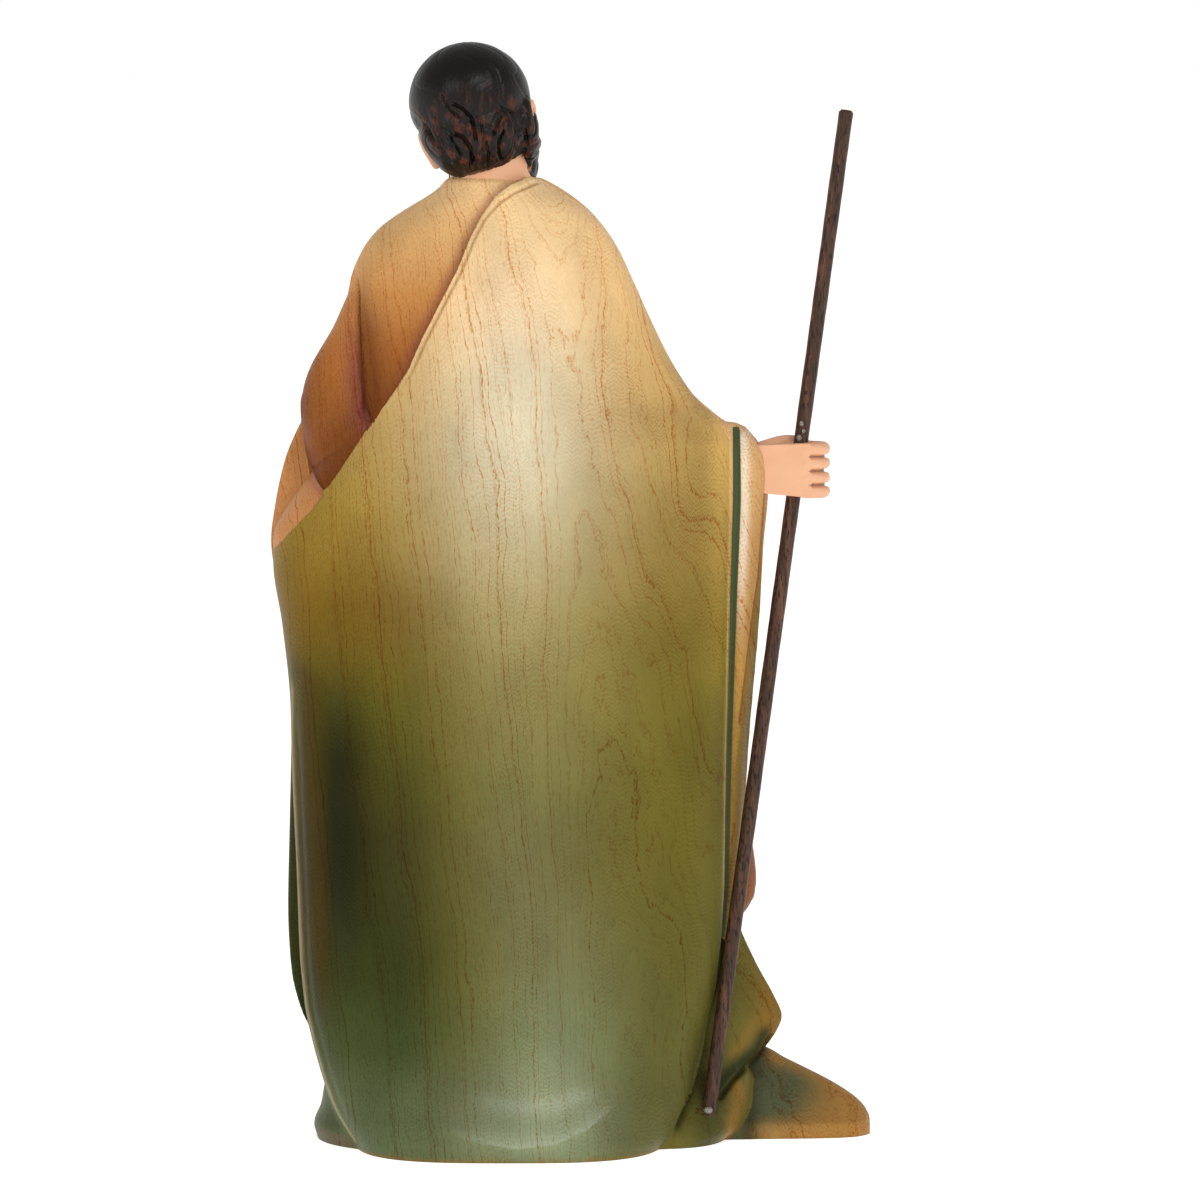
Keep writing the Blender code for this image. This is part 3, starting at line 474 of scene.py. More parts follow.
# The mantle's end that hangs over the left forearm
ARM_DRAPE = (
    (16.0, 32.0, 20.0, -9.0, -19.0, 0.0, 2.2, 2.0),
    (20.0, 34.6, 17.0, -5.0, -24.0, 0.0, 2.2, 2.0),
    (26.0, 37.6, 15.0, -2.0, -27.4, 0.0, 2.2, 2.0),
    (34.0, 39.4, 14.0, 0.0, -29.0, 0.0, 2.3, 2.0),
    (46.0, 40.0, 13.4, 2.0, -29.6, 0.0, 2.3, 2.0),
    (64.0, 39.6, 13.4, 4.0, -29.2, 0.0, 2.3, 2.0),
    (84.0, 39.2, 13.6, 6.0, -28.6, 0.0, 2.3, 2.0),
    (100.0, 40.4, 14.0, 6.0, -28.2, 0.0, 2.3, 2.0),
    (112.0, 42.2, 14.4, 5.0, -28.0, 0.0, 2.3, 2.0),
    (120.0, 43.2, 14.6, 4.0, -28.0, 0.0, 2.2, 2.0),
    (128.0, 42.2, 14.6, 3.0, -28.2, 0.0, 2.2, 2.0),
    (136.0, 40.4, 14.6, 1.0, -28.0, 0.0, 2.2, 2.0),
    (142.0, 38.0, 15.4, -1.0, -26.8, 0.0, 2.1, 2.0),
    (146.0, 35.6, 17.4, -3.0, -24.6, 0.0, 2.1, 2.0),
    (149.0, 32.0, 20.4, -6.0, -21.0, 0.0, 2.0, 2.0),
    (150.4, 28.6, 23.6, -10.0, -16.6, 0.0, 2.0, 2.0),
)

# The fold that stands out under the right hand, with its corner pointing to the side
CORNER_FOLD = (
    (8.0, -30.0, -46.0, 6.0, -18.0, 0.0, 2.0, 1.7),
    (11.0, -30.0, -49.0, 6.4, -19.0, 0.0, 2.0, 1.6),
    (15.0, -30.0, -53.4, 6.8, -20.0, 0.0, 2.0, 1.5),
    (20.0, -30.0, -57.4, 6.8, -20.0, 0.0, 2.0, 1.4),
    (24.4, -30.0, -59.2, 6.4, -19.0, 0.0, 2.0, 1.35),
    (28.0, -30.0, -57.8, 5.6, -18.0, 0.0, 2.0, 1.4),
    (35.0, -30.0, -54.0, 4.2, -16.0, 0.0, 2.0, 1.5),
    (42.0, -30.0, -50.8, 2.8, -14.0, 0.0, 2.0, 1.6),
    (50.0, -30.0, -48.0, 1.0, -12.0, 0.0, 2.0, 1.7),
)

# The low block that takes the staff's foot
FOOT_BLOCK = (
    (-GROUND_SKIRT, -20.0, -47.0, 18.4, -24.0, -2.0, 2.5, 2.4),
    (0.0, -20.0, -48.0, 19.0, -24.0, -2.0, 2.5, 2.4),
    (2.0, -20.0, -50.6, 19.2, -24.0, -2.0, 2.5, 2.4),
    (4.4, -20.0, -52.2, 18.0, -23.0, -2.0, 2.4, 2.3),
    (7.6, -20.0, -53.2, 15.0, -22.0, -2.0, 2.3, 2.2),
    (11.4, -20.0, -53.2, 10.6, -21.0, -1.0, 2.2, 2.1),
    (14.6, -20.0, -51.6, 7.2, -19.0, 0.0, 2.1, 1.9),
    (18.0, -20.0, -48.0, 3.0, -16.0, 0.0, 2.0, 1.8),
)

# The mantle's tail on the ground, in sections along -x: (x, near side, far side, crest, crest height)
TAIL = (
    (-40.0, 5.0, -25.0, -9.0, 17.6),
    (-50.0, 5.0, -24.0, -9.0, 17.6),
    (-55.4, 4.4, -22.0, -9.0, 17.2),
    (-60.0, 4.0, -20.0, -9.0, 14.8),
    (-65.0, 3.6, -18.0, -8.6, 12.4),
    (-70.0, 2.8, -16.0, -8.0, 9.8),
    (-74.0, 1.0, -13.4, -7.4, 7.2),
    (-76.2, -1.8, -10.6, -6.6, 5.0),
    (-77.0, -4.0, -8.4, -6.2, 3.4),
)
TAIL_LIP = 3.0


def mantle_tail():
    """A tongue of cloth on the ground: a rounded crest that runs down to a low upright lip on each side."""
    table = np.array(TAIL, float)
    at = np.linspace(table[0, 0], table[-1, 0], 40)
    read = [eased(-at, -table[:, 0], table[:, column]) for column in range(1, 5)]
    share = np.linspace(0, 1, 14)
    rings = []
    for k, x in enumerate(at):
        near, far, crest, height = (column[k] for column in read)
        lip = min(TAIL_LIP, 0.6 * height)
        slope = np.cos(share * math.pi / 2) ** 1.25
        near_side = [(x, crest + (near - crest) * s, lip + (height - lip) * c) for s, c in zip(share, slope)]
        far_side = [(x, crest + (far - crest) * s, lip + (height - lip) * c) for s, c in zip(share, slope)]
        ground = [(x, far, -GROUND_SKIRT), (x, near, -GROUND_SKIRT)]
        rings.append(near_side[::-1] + far_side[1:] + ground)
    return loft(rings)


def left_arm():
    """The left sleeve, from the shoulder back to the elbow and forward to the wrist."""
    upper = [
        (12.6, 0.5, 176.0, 9.0), (17.6, 2.0, 168.0, 9.6), (21.4, 4.0, 159.0, 9.9),
        (25.4, 5.0, 149.0, 11.2), (27.0, 3.6, 141.0, 9.6), (29.0, 1.0, 133.0, 6.4), (30.4, -1.0, 128.0, 4.4),
    ]
    fore = [
        (27.0, 3.0, 144.0, 9.4), (25.0, -8.0, 143.0, 8.8),
        (18.0, -19.0, 145.0, 7.4), (10.4, -24.6, 148.6, 5.8),
    ]
    return [limb(upper, 30), limb(fore, 24)]


def left_hand():
    """The left hand laid flat on the chest, its fingers pointing to the figure's right."""
    palm = limb([(10.4, -24.6, 149.0, 3.4), (6.0, -26.0, 151.0, 4.4), (2.4, -25.4, 152.6, 4.2)], 10, 20, 0.62)
    fingers = []
    for k in range(4):
        drop = 2.2 * (1.5 - k)
        reach = (9.2, 10.4, 9.8, 8.0)[k]
        fingers.append(
            limb(
                [
                    (2.6, -25.6, 152.4 + drop, 1.25),
                    (2.6 - reach * 0.5, -25.4, 153.6 + drop * 1.05, 1.2),
                    (2.6 - reach, -24.0, 154.4 + drop * 1.1, 0.95),
                ],
                10,
                12,
            )
        )
    thumb = limb([(6.4, -26.0, 153.6, 1.6), (4.4, -26.4, 157.4, 1.35), (1.8, -25.8, 160.0, 1.0)], 10, 12)
    return [palm, *fingers, thumb]


def staff_direction():
    return (STAFF_GRIP - STAFF_FOOT).normalized()


def block(corners):
    """A solid with six flat sides through eight corners: the four of one end, then the four of the other."""
    return loft([corners[:4], corners[4:]])


def right_hand():
    """The right fist, its flat back to the rear, with four fingers and the thumb round the staff."""
    finger = 1.42
    wrap = STAFF_RADIUS + finger
    back = STAFF_GRIP.y + STAFF_RADIUS
    palm = block(
        [
            (-53.0, back + 2.4, 129.8), (-53.0, back - 4.6, 129.8),
            (-53.0, back - 4.6, 139.2), (-53.0, back + 2.4, 139.2),
            (-65.0, back + 2.9, 128.7), (-65.0, back + 0.4, 128.7),
            (-64.4, back + 0.4, 139.6), (-64.4, back + 2.9, 139.6),
        ]
    )
    fingers = []
    slant = (STAFF_GRIP.x - STAFF_FOOT.x) / (STAFF_GRIP.z - STAFF_FOOT.z)
    for k, height in enumerate((138.3, 135.5, 132.6, 129.9)):
        middle = STAFF_GRIP.x + slant * (height - STAFF_GRIP.z)
        reach = (-0.6, 0.0, -0.2, -0.9)[k]
        size = (1.0, 1.0, 0.98, 0.92)[k] * finger
        fingers.append(
            limb(
                [
                    (-63.4, back + 1.6, height, size),
                    (-66.2 + reach * 0.6, back + 0.9, height, size),
                    (-67.0 - reach * 0.2, STAFF_GRIP.y - 1.6, height + 0.1, size),
                    (middle - 0.9, STAFF_GRIP.y - wrap - 0.1, height + 0.2, size * 0.96),
                    (middle + 2.0, STAFF_GRIP.y - wrap + 0.7, height + 0.2, size * 0.85),
                ],
                22,
                18,
            )
        )
    thumb = limb(
        [
            (-55.0, STAFF_GRIP.y - 0.6, 137.4, 2.5), (-58.6, STAFF_GRIP.y - 2.6, 139.1, 1.75),
            (-61.4, STAFF_GRIP.y - 4.3, 139.4, 1.45), (-64.2, STAFF_GRIP.y - 4.8, 138.6, 1.25),
        ],
        16,
        18,
    )
    return [palm, *fingers, thumb]


# How deep the grooves between the fist's fingers are cut
KNUCKLE_DEPTH = 0.35


def knuckles(points, normals):
    """Crisp grooves between the four fingers of the fist, fading over the back of the hand."""
    x, _, z = points.T
    grooves = sum(gauss(z - height, 0.32) for height in (136.9, 134.05, 131.25))
    return -KNUCKLE_DEPTH * grooves * step_up(-x, 63.0, 65.2)


def head_place():
    """The matrix that carries the head from its own axes, face to -Y, to its turned and bowed place."""
    turn = Matrix.Rotation(math.radians(HEAD_TURN), 4, "Z")
    bow = Matrix.Rotation(math.radians(HEAD_BOW), 4, "X")
    lean = Matrix.Rotation(math.radians(HEAD_LEAN), 4, "Y")
    return Matrix.Translation(HEAD_CENTRE) @ turn @ bow @ lean @ Matrix.Scale(HEAD_SIZE, 4)


def head_masses():
    """The head's overlapping masses in its own axes: face to -y, crown to +z, chin at about -14."""
    shapes = [
        egg((0, 1.6, 3.0), (10.8, 12.2, 11.2)),
        egg((0, -4.2, -3.2), (8.2, 8.0, 10.8)),
        egg((0, 1.8, 2.8), (12.1, 12.9, 11.8)),
        egg((0, 3.6, -4.6), (11.2, 9.4, 8.6)),
        egg((0, -8.0, -11.6), (6.4, 5.2, 6.4)),
        egg((0, -9.6, -15.8), (4.0, 3.4, 4.6), (8, 0, 0)),
        egg((-11.6, 0.8, -3.6), (1.15, 2.6, 4.8)),
        egg((-10.0, -1.0, -7.6), (1.9, 3.4, 3.8)),
        limb([(0, -11.2, 2.2, 1.5), (0, -12.6, -1.4, 1.3), (0, -14.0, -4.0, 1.6)], 12, 16),
    ]
    for side in (-1, 1):
        brow = [(side * 0.9, -12.0, 1.9, 0.8), (side * 3.4, -11.5, 2.5, 0.9), (side * 6.2, -9.3, 1.4, 0.7)]
        shapes += [
            egg((side * 4.7, -8.0, -2.9), (3.3, 3.2, 2.9)),
            egg((side * 6.9, -4.4, -9.0), (2.8, 4.2, 6.2)),
            egg((side * 1.35, -13.2, -4.9), (1.0, 1.3, 0.85)),
            egg((side * 3.5, -9.5, -0.2), (2.1, 1.7, 1.7)),
            limb(brow, 12, 14),
        ]
    return joined(shapes)


def ears():
    """Each ear: a thin shell inside the curl of its rim, with a lobe."""
    parts = []
    for side in (-1, 1):
        parts.append(egg((side * 11.2, -1.4, -4.0), (0.8, 2.2, 3.6), (-12, side * 8, 0)))
        curl = [
            (11.4, -3.2, -2.6, 0.55), (11.8, -2.6, -0.8, 0.6), (12.1, -1.0, 0.0, 0.65),
            (12.4, 0.6, -1.4, 0.65), (12.1, 0.8, -3.8, 0.6), (11.6, -0.4, -6.2, 0.6),
            (11.2, -1.8, -7.6, 0.85),
        ]
        parts.append(limb([(side * x, y, z, r) for x, y, z, r in curl], 30, 16))
        parts.append(egg((side * 11.4, -3.1, -4.4), (0.6, 0.7, 1.2)))
    return parts


def face_pushes(points):
    """Eye sockets, temples and the hollows under the cheeks."""
    for side in (-1, 1):
        points = push(points, (side * 3.3, -11.6, 0.6), (2.6, 2.5, 1.9), (0, 0.9, 0))
        points = push(points, (side * 8.4, -6.0, 2.6), (2.4, 4.0, 4.0), (-side * 0.6, 0.3, 0))
        points = push(points, (side * 5.2, -9.6, -7.0), (2.0, 3.0, 2.2), (-side * 0.3, 0.6, 0))
    return push(points, (10.5, 2.0, -7.5), (4.5, 6.0, 4.5), (-2.2, 0, 1.6))


# Each eye in the head's own axes: its middle, half its width, and its lids' heights above and below
EYE_PLACE = (3.55, 0.1)
EYE_HALF = 2.05
EYE_UP = 0.72
EYE_DOWN = 0.6


def eye_opening(x, z):
    """Distances outside the opening between the lids, from the iris's middle, and above the upper lid."""
    across = (np.abs(x) - EYE_PLACE[0]) / EYE_HALF
    height = z - EYE_PLACE[1] - 0.15 * across
    arch = np.clip(1 - across**2, 0, None)
    over = np.maximum(height - EYE_UP * arch**0.8, -EYE_DOWN * arch - height)
    outside = np.maximum(over, (np.abs(across) - 1) * EYE_HALF)
    iris = np.hypot(np.abs(x) - EYE_PLACE[0], height - 0.05)
    return outside, iris, height - EYE_UP * arch**0.8


def face_relief(x, y, z):
    """How far each point of the face comes forward: lids, nostrils and lips."""
    ahead = step_up(-y, 5.0, 8.0)
    outside, _, upper = eye_opening(x, z)
    near = gauss(np.abs(x) - EYE_PLACE[0], 2.4)
    lids = 0.42 * np.exp(-np.clip(outside, 0, None) ** 2 / 0.5) * (1 - step_up(-outside, -0.1, 0.12))
    crease = -0.3 * gauss(upper - 0.75, 0.2) * near
    under = -0.12 * gauss(outside - 0.9, 0.3) * near * (z < EYE_PLACE[1])
    nostril = -0.5 * gauss(np.abs(x) - 0.75, 0.4) * gauss(z + 5.75, 0.35) * step_up(-y, 11.6, 12.6)
    bow = 0.25 * gauss(x, 0.5)
    mouth = gauss(x, 2.3)
    upper_lip = 0.35 * gauss(z + 7.75 + bow, 0.42) * mouth
    lower_lip = 0.5 * gauss(z + 9.15, 0.55) * gauss(x, 1.9)
    parting = -0.5 * gauss(z + 8.4 - 0.1 * np.abs(x), 0.2) * mouth
    below = -0.4 * gauss(z + 10.4, 0.6) * gauss(x, 2.0)
    return ahead * (lids + crease + under + nostril + upper_lip + lower_lip + parting + below)


def hair_share(x, y, z):
    """1 where the head is covered by hair, 0 on the face, which is an oval open at the front of the ears."""
    oval = np.hypot(x / 8.6, (z + 0.6) / 8.2)
    over = step_up(oval, 0.97, 1.03) * step_up(z, -0.4, 1.2)
    behind = step_up(y, -3.2, -2.6)
    return np.maximum(over, behind) * step_up(z, -14.0, -12.4)


def beard_share(x, y, z):
    """1 on the beard and the moustache, in the head's own axes."""
    cheek = -5.9 - 0.05 * (np.abs(x) - 2.0) ** 2 + 0.9 * np.clip(np.abs(x) - 5.6, 0, 5)
    lips = np.exp(-((x / 2.4) ** 4) - (((z + 8.5) / 1.1) ** 4))
    return step_up(cheek - z, -0.25, 0.25) * step_up(-y, -1.0, 1.0) * step_up(0.5 - lips, -0.2, 0.2)


def locks(x, y, z):
    """Waving locks that run down from the crown: round ridges parted by narrow grooves."""
    round_head = np.arctan2(x, y - 1.5) * 10.0
    wave = 1.7 * np.sin(0.42 * z + 0.22 * round_head) + 0.8 * np.sin(0.95 * z - 0.5 * round_head)
    broad = np.abs(np.sin((round_head + wave) * 0.62))
    narrow = np.abs(np.sin((round_head + 1.2 * wave) * 1.9 + 0.6))
    return broad**0.5 - 0.7 + 0.3 * (narrow**0.6 - 0.7)


def beard_locks(x, z):
    """Curling locks of the beard, which run down and towards the middle."""
    run = x * (1.0 + 0.03 * (z + 14)) + 0.9 * np.sin(0.75 * z + 0.3 * x)
    broad = np.abs(np.sin(run * 1.05))
    narrow = np.abs(np.sin(run * 3.1 + 0.8 * z))
    return broad**0.6 - 0.6 + 0.25 * (narrow**0.7 - 0.6)


# Deep cuts between the locks at the back of the head: (depth, half width, then (x, height) along the cut)
HAIR_CUTS = (
    (0.7, 0.26, ((7.2, 207.6), (4.6, 206.2), (2.8, 204.4), (2.2, 201.6), (1.7, 199.0))),
    (0.9, 0.32, ((6.8, 201.6), (4.6, 200.6), (3.2, 198.6), (2.6, 196.2), (3.2, 193.8))),
    (0.7, 0.22, ((7.2, 201.0), (5.8, 198.6), (4.4, 196.2))),
    (0.9, 0.3, ((-4.0, 202.4), (-2.8, 200.0), (-2.6, 197.4), (-3.6, 195.2))),
    (0.5, 0.24, ((-3.4, 205.2), (-2.1, 202.6), (-1.4, 200.6))),
    (0.3, 0.4, ((-0.8, 215.6), (-2.5, 213.0), (-3.2, 210.0), (-3.2, 205.6))),
    (0.5, 0.26, ((-5.5, 203.4), (-6.2, 201.0), (-5.6, 197.4))),
    (0.55, 0.3, ((9.2, 209.4), (7.3, 206.0), (4.4, 203.6))),
    (0.5, 0.3, ((12.4, 203.6), (10.4, 200.2), (7.8, 196.6), (6.6, 194.8))),
    (0.45, 0.24, ((10.2, 205.0), (9.6, 201.4), (8.2, 198.2))),
    (0.45, 0.22, ((0.0, 200.2), (-0.6, 197.4), (-0.4, 194.6))),
    (0.5, 0.24, ((-7.6, 202.6), (-8.2, 199.4), (-7.2, 196.0))),
    (0.35, 0.2, ((1.0, 204.0), (0.4, 200.6), (0.8, 197.0))),
    (0.35, 0.2, ((-4.6, 206.8), (-5.0, 204.6), (-6.6, 202.4))),
    (0.35, 0.22, ((8.6, 203.6), (7.0, 201.2), (6.4, 198.0), (5.2, 195.0))),
)


def hair_cuts(points, normals):
    """The deep cuts, each with a low swell beside it, where the head faces back."""
    x, _, z = points.T
    cut = np.zeros(len(points))
    for depth, width, path in HAIR_CUTS:
        off, along = beside(path, x, z)
        ends = step_up(along, 0.0, 0.12) * (1 - step_up(along, 0.85, 1.0))
        swell = 0.3 * gauss(off - 3.2 * width, 2 * width)
        cut = cut + depth * (swell - gauss(off, width)) * ends
    return cut * step_up(normals[:, 1], 0.0, 0.3)


def neck():
    return limb([(-1.0, 0.0, 184.0, 8.8), (-1.0, -0.4, 192.0, 8.2), (0.4, -0.8, 200.0, 8.0)], 10)


def sleeve_drop():
    """The rounded end of the right sleeve that shows below the front fall."""
    down = [
        (-46.0, -6.0, 74.0, 4.0), (-47.4, -5.4, 60.0, 5.6),
        (-48.2, -5.0, 50.0, 5.8), (-46.6, -5.4, 46.0, 4.6),
    ]
    return limb(down, 16)


def feet():
    """The front of both bare feet under the tunic's hem, each with five toes."""
    parts = []
    for x, y, out in ((9.4, -33.0, 1), (-7.4, -32.2, -1)):
        parts.append(limb([(x, y + 5, 1.6, 4.2), (x, y, 1.2, 4.0), (x, y - 2.4, 0.6, 3.6)], 10, 20, 1.2))
        for k in range(5):
            size = (1.55, 1.15, 1.1, 1.05, 1.0)[k]
            reach = (5.9, 6.1, 5.7, 5.1, 4.2)[k]
            toe = x + out * (2.1 * k - 4.1)
            root = (toe * 0.6 + x * 0.4, y - 1.5, 1.8, size)
            parts.append(limb([root, (toe, y - reach, size * 0.75, size)], 6, 12))
    return parts


# Fine carving of the robe

# The back panel's free edge above and below the right hand, from the cuff down to the ground: (x, height)
PANEL_EDGE = (
    (-49.0, 142.0), (-49.0, 136.0), (-49.0, 128.8), (-48.5, 110.6), (-48.2, 94.5), (-47.8, 78.4),
    (-47.6, 62.4), (-47.5, 51.6), (-46.9, 41.6), (-45.7, 31.2), (-43.8, 25.6), (-41.9, 17.0), (-40.0, 10.4),
    (-37.7, 5.2),
)


def panel_groove(z):
    """The green groove's width beside the panel's edge, and how much of it there is at each height."""
    width = eased(z, (26, 36, 60, 95, 130, 143), (0.05, 0.6, 0.9, 1.2, 1.6, 1.45))
    return width, step_up(z, 27, 36) * (1 - step_up(z, 141.5, 144.5))


# Lines carved in the back, as (x, height): between the arm and the back, round the sleeve's lower end, the
# cuff's second rim, the low fold's lower boundary, both edges of the hem's flare, and the mantle's left rim
ARM_CREASE = ((26.3, 176.0), (26.1, 170.0), (25.6, 164.0), (25.0, 158.0), (23.9, 150.0), (23.6, 145.0))
SLEEVE_END = (
    (37.4, 152.0), (36.7, 146.4), (36.5, 140.6), (35.3, 135.8), (33.3, 132.3), (30.6, 129.2), (27.0, 126.0),
)
CUFF_RIM = (
    (-52.0, 142.6), (-54.0, 140.4), (-55.4, 137.6), (-56.0, 134.0), (-55.5, 128.0), (-55.0, 121.0),
    (-54.4, 113.0), (-52.9, 103.0), (-51.4, 92.0), (-50.4, 84.0),
)
FOLD_FOOT = ((-56.4, 20.0), (-55.2, 17.4), (-52.3, 14.8), (-49.4, 12.6), (-46.6, 9.6))
HEM_FLARE = (
    (16.0, 22.0), (12.5, 16.0), (5.0, 12.5), (-5.0, 10.3), (-14.0, 10.5), (-23.0, 13.0), (-28.0, 18.0),
)
HEM_RIM = ((12.0, 10.5), (8.0, 6.5), (3.0, 4.2), (-6.0, 2.8), (-14.0, 3.6), (-20.0, 6.0), (-26.0, 10.5))
LEFT_RIM = (
    (38.4, 92.0), (38.4, 83.3), (37.9, 70.1), (37.1, 52.2), (36.6, 37.3), (35.5, 27.6), (33.7, 20.1),
    (31.8, 13.2), (29.4, 7.3), (26.0, 2.0),
)


def near_line(points, path, reach):
    off = beside(path, points[:, 0], points[:, 2])[0]
    return np.abs(off) < reach


def finely_carved(points):
    """Where the robe's back has crisp edges."""
    y = points[:, 1]
    edge = near_line(points, MANTLE_EDGE, 2.8) & (y > 3)
    crease = (near_line(points, ARM_CREASE, 2.2) | near_line(points, SLEEVE_END, 1.8)) & (y > 3)
    panel = near_line(points, PANEL_EDGE, 3.2) & (y > -4)
    rim = near_line(points, CUFF_RIM, 1.2) & (y > -4)
    fold = near_line(points, FOLD_FOOT, 1.6) & (y > -4)
    hem = near_line(points, HEM_RIM, 1.6) & (y > 20)
    return edge | crease | panel | rim | fold | hem


def mantle_edge(points, normals):
    """The mantle's edge stands over the tunic; high up it has a rolled rim with a crease inside it."""
    x, y, z = points.T
    behind = step_up(normals[:, 1], -0.3, 0.15) * step_up(-x, -42.5, -34.0) * step_up(y, 4.0, 7.0)
    off, along = beside(MANTLE_EDGE, x, z)
    off = -off
    rise = step_up(off, -0.2, 0.2)
    high = 1 - step_up(along, 0.42, 0.6)
    inner = 1.0 + 0.9 * step_up(z, 183, 190)
    roll = 0.28 * gauss(off - 0.5 * inner, 0.45 * inner)
    roll = roll - 0.5 * gauss(off - inner, 0.24) + 0.1 * gauss(off - inner - 0.5, 0.3)
    cloth = 1.0 * np.exp(-np.clip(off, 0, None) / 14) + roll * high
    under = -1.0 * np.exp(-np.clip(-off, 0, None) / 5)
    return behind * (rise * cloth + (1 - rise) * under)


def arm_crease(points, normals):
    """A sharp cut between the upper arm and the back, and the sleeve's end over the drape on the forearm."""
    x, y, z = points.T
    turned = step_up(normals[:, 1], -0.4, 0.1) * (y > 2)
    off, along = beside(ARM_CREASE, x, z)
    cut = -0.9 * gauss(off, 0.4) - 0.6 * gauss(off + 0.8, 1.6)
    end, run = beside(SLEEVE_END, x, z)
    sleeve = step_up(-end, -0.2, 0.2)
    over = 0.45 * sleeve * np.exp(-np.clip(-end, 0, None) / 3)
    over = over - 0.55 * (1 - sleeve) * np.exp(-np.clip(end, 0, None) / 3)
    past = beside(MANTLE_EDGE, x, z)[0]
    return turned * (cut * step_up(along, 0.0, 0.2) + over * step_up(run, 0.05, 0.2) * (past > 0.3))


def panel_edge(points, normals):
    """The groove between the back panel and the cuff, and the panel's step over the folds below it."""
    x, y, z = points.T
    off = -beside(PANEL_EDGE, x, z)[0]
    width, there = panel_groove(z)
    turned = step_up(normals[:, 1], -0.35, 0.0)
    groove = -1.0 * gauss((off - width / 2) / np.maximum(width, 0.4), 0.55)
    lip = 0.25 * gauss(off + 0.35, 0.3)
    roll = 0.3 * gauss(off - width - 1.4, 1.2)
    second = -0.45 * gauss(beside(CUFF_RIM, x, z)[0], 0.3)
    low = 1 - step_up(z, 26, 36)
    over = 0.5 * np.exp(-np.clip(-off, 0, None) / 6)
    under = -0.7 * np.exp(-np.clip(off, 0, None) / 3)
    rise = step_up(-off, -0.2, 0.2)
    step = low * (rise * over + (1 - rise) * under) * (y > -6)
    return turned * (there * (groove + lip + roll + second) + step)


def low_folds(points, normals):
    """The low fold's crisp lower boundary, and the hem that flares out over the ground with its rim."""
    x, y, z = points.T
    turned = step_up(normals[:, 1], -0.2, 0.2)
    off = beside(FOLD_FOOT, x, z)[0]
    foot = -0.9 * gauss(off + 0.3, 0.5) * step_up(-x, 44.5, 47.0) * (y > -8)
    flare, along = beside(HEM_FLARE, x, z)
    ends = step_up(along, 0.0, 0.2) * (1 - step_up(along, 0.8, 1.0))
    hollow = -0.6 * gauss(flare + 3.0, 3.6) * ends
    rim, along = beside(HEM_RIM, x, z)
    ends = step_up(along, 0.0, 0.25) * (1 - step_up(along, 0.75, 1.0))
    above, below = np.exp(np.minimum(rim, 0) / 2.6), np.exp(-np.maximum(rim, 0) / 0.6)
    swell = ends * 0.7 * np.where(rim < 0, above, below)
    return turned * (foot + (hollow + swell) * (y > 14))


def left_rim(points, normals):
    """A thin rim along the mantle's left border."""
    x, y, z = points.T
    off, along = beside(LEFT_RIM, x, z)
    ends = step_up(along, 0.0, 0.15) * (1 - step_up(along, 0.9, 1.0))
    turned = step_up(normals[:, 1], -0.3, 0.0) * step_up(y, 6, 9)
    return 0.3 * ends * (gauss(off, 0.4) - 0.8 * gauss(off + 1.0, 0.6)) * turned


def back_folds(points, normals):
    """The hollow behind the mantle's left rim."""
    x, _, z = points.T
    hollow = -1.1 * gauss(x - eased(z, (20, 50, 90, 110), (30.0, 31.0, 31.5, 33.0)), 3.6)
    return hollow * step_up(z, 22, 44) * (1 - step_up(z, 88, 112)) * step_up(normals[:, 1], 0.0, 0.5)


def front_folds(points, normals):
    """Falling folds down the tunic's front and on both sides of it."""
    x, y, z = points.T
    toes = step_up(-y, 35.4, 36.4) * step_up(-z, -7.0, -5.0)
    ahead = step_up(-normals[:, 1], 0.0, 0.5) * step_up(x, -50.0, -44.0) * (1 - toes)
    waves = np.cos(x * (0.74 - 0.0012 * z) + 0.7) + 0.5 * np.cos(x * 1.31 + 1.9)
    front = 1.1 * waves * (1 - step_up(z, 70, 116)) * step_up(14.0 - np.abs(x + 1.0), -3.0, 3.0)
    right_fall = np.cos((x + 0.06 * z) * 0.62) * step_up(-x, 18.0, 22.0) * (1 - step_up(z, 120, 150))
    left_fall = np.cos((x - 0.10 * z) * 0.66 + 0.4) * step_up(x, 15.0, 19.0) * (1 - step_up(z, 118, 140))
    return ahead * (front + right_fall + left_fall)


# The stain: colours are sRGB hex, turned linear by one function

def linear(code):
    """A linear colour from an sRGB hex code such as #E8B08A."""
    parts = np.array([int(code[k:k + 2], 16) for k in (1, 3, 5)]) / 255
    return np.where(parts <= 0.04045, parts / 12.92, ((parts + 0.055) / 1.055) ** 2.4)


# The mantle's coats down the middle of the back and down each side: (height, colour)
# The middle coat is lighter between heights 5 and 15: a painted highlight on the hem's flare
MIDDLE_COAT = (
    (0, "#7A8564"), (5, "#8A9674"), (10, "#929C7C"), (15, "#868F6C"), (24, "#7A835E"), (40, "#70704A"),
    (56, "#6E6A43"), (75, "#797645"), (92, "#8E844F"), (108, "#A59866"), (124, "#BEB18B"), (140, "#D3C8A9"),
    (155, "#DFD0AE"), (170, "#E8CCA2"), (184, "#F0CD98"), (192, "#F5D29C"),
)
LEFT_COAT = (
    (0, "#55613F"), (10, "#566240"), (20, "#424D28"), (34, "#353C18"), (64, "#3A3816"), (88, "#58541A"),
    (108, "#73591A"), (126, "#957A30"), (144, "#B0904E"), (168, "#CE9E5C"), (192, "#E6BA7A"),
)
RIGHT_COAT = (
    (0, "#5C5A30"), (16, "#5A5826"), (34, "#5F5A22"), (64, "#645D1F"), (88, "#6F6321"), (104, "#7C6A27"),
    (120, "#92793A"), (136, "#A98C4C"), (150, "#CAA462"), (165, "#DAB06E"), (192, "#F2C688"),
)
